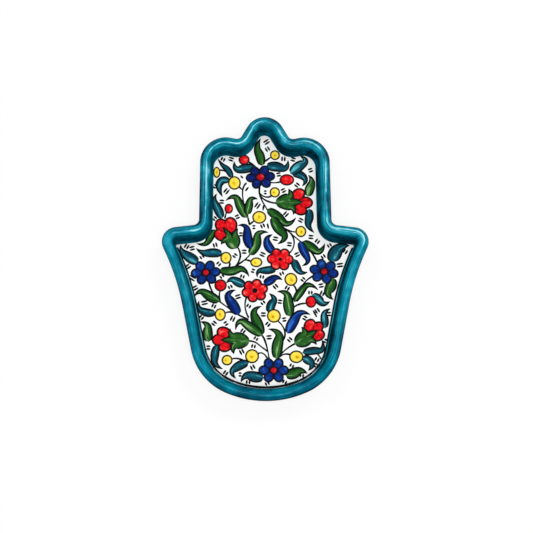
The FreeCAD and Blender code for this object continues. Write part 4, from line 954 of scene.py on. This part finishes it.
class HAMSA_OT_flowers(bpy.types.Operator):
    """Draws and fills the blue flowers, the red rosettes and the carnations' petals"""
    bl_idname = "hamsa.flowers"
    bl_label = "Flowers"

    def execute(self, context):
        base = level("flower")
        outlines = []
        # Hearts and eyes lie half a level over the petals
        heart_base = base + 0.5 * LEVEL_STEP
        eye_base = base + ENAMEL_OVER_LINE + 0.5 * LEVEL_STEP
        eyes = {name: drop((x, y), FLOWER_EYES[name], 0, eye_base, context.scene.hamsa_sizes.relief)
                for name, (x, y, _) in (BLUE_FLOWERS | ROSETTES).items()}
        for name, (x, y, turn) in BLUE_FLOWERS.items():
            finish = "navy_enamel_dabbed" if name == "top" else "cobalt_enamel_dabbed"
            pairs = petal_pairs(x, y, turn, FLOWER_RING, FLOWER_PETAL, base)
            fill("blue_flower_" + name, pairs, finish, 31 + len(name), outlines)
            outlines.append(drop((x, y), FLOWER_HEART, 0, heart_base, ENAMEL_OVER_LINE, OUTLINE_FLATNESS))
        add_piece("blue_flower_eyes_enamel", [eyes[name] for name in BLUE_FLOWERS], "eye_enamel_dabbed",
                  "blue_flower_eyes", 37)
        for name, (x, y, turn) in ROSETTES.items():
            pairs = petal_pairs(x, y, turn, ROSETTE_RING, ROSETTE_PETAL, base)
            pairs.append(drop_pair((x, y), ROSETTE_HEART, base, relief=0.5))
            fill("red_rosette_" + name, pairs, "red_enamel_dabbed", 41, outlines)
        draw_black("rosette_eye_dabs", [eyes[name] for name in ROSETTES], "rosette_eyes")
        for name, (petals, leaves) in CARNATIONS.items():
            start, tip = np.array(leaves[0][:2]), np.array(leaves[2][6:8])
            cup = start + SPREAD_SHARE * (tip - start)
            pairs = []
            # The middle petal is painted last, and each spreads from the cup outwards
            for place, (x, y, radius) in enumerate((petals[0], petals[2], petals[1])):
                out = np.array([x, y]) - cup
                pairs.append(drop_pair(
                    np.array([x, y]) - PETAL_PULL * out, (PETAL_LONG * radius, PETAL_WIDE * radius), base,
                    math.degrees(math.atan2(out[1], out[0])), lift=place * PETAL_STEP, flatness=0.5))
            fill("carnation_petals_" + name, pairs, "red_enamel_dabbed", 43, outlines)
        draw_black("flower_outlines", outlines, "flower_lines")
        return {"FINISHED"}


class HAMSA_OT_calyces(bpy.types.Operator):
    """Draws and fills the carnations' green cups, lobes and tongues"""
    bl_idname = "hamsa.calyces"
    bl_label = "Calyces"

    def execute(self, context):
        outlines = []
        for name, (_, (lobe, other_lobe, tongue)) in CARNATIONS.items():
            start, tip = np.array(lobe[:2]), np.array(tongue[6:8])
            reach = CUP_SHARE * (tip - start)
            line = (start + reach * share for share in (0, 1 / 3, 2 / 3, 1))
            cup = (*line, CUP_HALF * np.linalg.norm(reach))
            # The cup is round at both ends, and the lobes and the tongue run out into their tips
            powers = ((cup, 0.6, 0.7), (lobe, 0.7, 0.95), (other_lobe, 0.7, 0.95), (tongue, 0.5, 0.9))
            pairs = []
            for (*places, half), base_power, tip_power in powers:
                halves = leaf_halves(half * CALYX_SWELL, base_power, tip_power, CALYX_WIDEST)
                pairs.append(leaf_pair(places, halves, level("calyx")))
            fill("carnation_calyx_" + name, pairs, "green_enamel_filled", 51, outlines)
        draw_black("calyx_outlines", outlines, "calyx_lines")
        return {"FINISHED"}


class HAMSA_OT_stage(bpy.types.Operator):
    """Sets the white floor, the studio light and the camera"""
    bl_idname = "hamsa.stage"
    bl_label = "Stage, light and camera"

    def execute(self, context):
        scene = context.scene
        scene.view_settings.view_transform = "Standard"
        mesh = bpy.data.meshes.new("studio_floor")
        corners = [(x * FLOOR_HALF, y * FLOOR_HALF, 0) for x, y in ((-1, -1), (1, -1), (1, 1), (-1, 1))]
        mesh.from_pydata(corners, [], [(0, 1, 2, 3)])
        mesh.materials.append(made("white_paper"))
        floor = bpy.data.objects.new("studio_floor", mesh)
        scene.collection.objects.link(floor)
        # The camera and the gloss see white, and the ware is lit by a softer white
        world = bpy.data.worlds.new("studio")
        world.use_nodes = True
        world.node_tree.nodes.clear()
        put = functools.partial(add_node, world.node_tree)
        soft = put("Background", {"Color": (1, 1, 1, 1), "Strength": WORLD_LIGHT})
        white = put("Background", {"Color": (1, 1, 1, 1), "Strength": 1.0})
        put("OutputWorld", {"Surface": put("MixShader", [seen_white(put), soft, white])})
        scene.world = world
        for name, (way, far, sides, power) in LAMPS.items():
            lamp = bpy.data.lights.new(name, "AREA")
            lamp.shape = "RECTANGLE"
            lamp.size, lamp.size_y = sides
            lamp.energy = power
            light = bpy.data.objects.new(name, lamp)
            scene.collection.objects.link(light)
            away = Vector(way).normalized()
            facing = away.to_track_quat("Z", "Y").to_matrix().to_4x4()
            light.matrix_world = Matrix.Translation(away * far) @ facing
        tilt, side, roll = map(math.radians, (CAMERA_TILT, CAMERA_SIDE, CAMERA_ROLL))
        back = Vector((-math.sin(side), -math.sin(tilt) * math.cos(side), math.cos(tilt) * math.cos(side)))
        right = Vector((0, 1, 0)).cross(back).normalized()
        up = back.cross(right)
        across = right * math.cos(roll) + up * math.sin(roll)
        upward = up * math.cos(roll) - right * math.sin(roll)
        view = Matrix((across, upward, back)).transposed().to_4x4()
        data = bpy.data.cameras.new("view")
        data.lens = CAMERA_LENS
        data.sensor_width = CAMERA_SENSOR
        data.shift_x = (IMAGE_SIDE / 2 - IMAGE_MIDDLE[0]) / IMAGE_SIDE
        data.shift_y = (IMAGE_MIDDLE[1] - IMAGE_SIDE / 2) / IMAGE_SIDE
        camera = bpy.data.objects.new("view", data)
        scene.collection.objects.link(camera)
        camera.matrix_world = Matrix.Translation(Vector(CAMERA_TARGET) + back * CAMERA_WAY) @ view
        scene.camera = camera
        return {"FINISHED"}


OPERATORS = (HAMSA_OT_ware, HAMSA_OT_lines, HAMSA_OT_leaves, HAMSA_OT_berries, HAMSA_OT_flowers,
             HAMSA_OT_calyces, HAMSA_OT_stage)


class HAMSA_PT_panel(bpy.types.Panel):
    """Lists the steps that dress the dish, with its sizes and colours"""
    bl_idname = "HAMSA_PT_panel"
    bl_label = "Hamsa dish"
    bl_space_type = "VIEW_3D"
    bl_region_type = "UI"
    bl_category = "Hamsa dish"

    def draw(self, context):
        for operator in OPERATORS:
            self.layout.operator(operator.bl_idname)
        for group in (context.scene.hamsa_sizes, context.scene.hamsa_colours):
            for name in group.__annotations__:
                self.layout.prop(group, name)


CLASSES = (HamsaSizes, HamsaColours, *OPERATORS, HAMSA_PT_panel)


def register():
    """Registers the classes and hangs the two groups of settings on the scene."""
    for item in CLASSES:
        bpy.utils.register_class(item)
    bpy.types.Scene.hamsa_sizes = bpy.props.PointerProperty(type=HamsaSizes)
    bpy.types.Scene.hamsa_colours = bpy.props.PointerProperty(type=HamsaColours)


def unregister():
    """Takes all of it away again."""
    del bpy.types.Scene.hamsa_colours
    del bpy.types.Scene.hamsa_sizes
    for item in reversed(CLASSES):
        bpy.utils.unregister_class(item)


def main():
    """Makes every piece and the stage in order."""
    register()
    bpy.ops.hamsa.ware()
    bpy.ops.hamsa.lines()
    bpy.ops.hamsa.leaves()
    bpy.ops.hamsa.berries()
    bpy.ops.hamsa.flowers()
    bpy.ops.hamsa.calyces()
    bpy.ops.hamsa.stage()


if __name__ == "__main__":
    main()
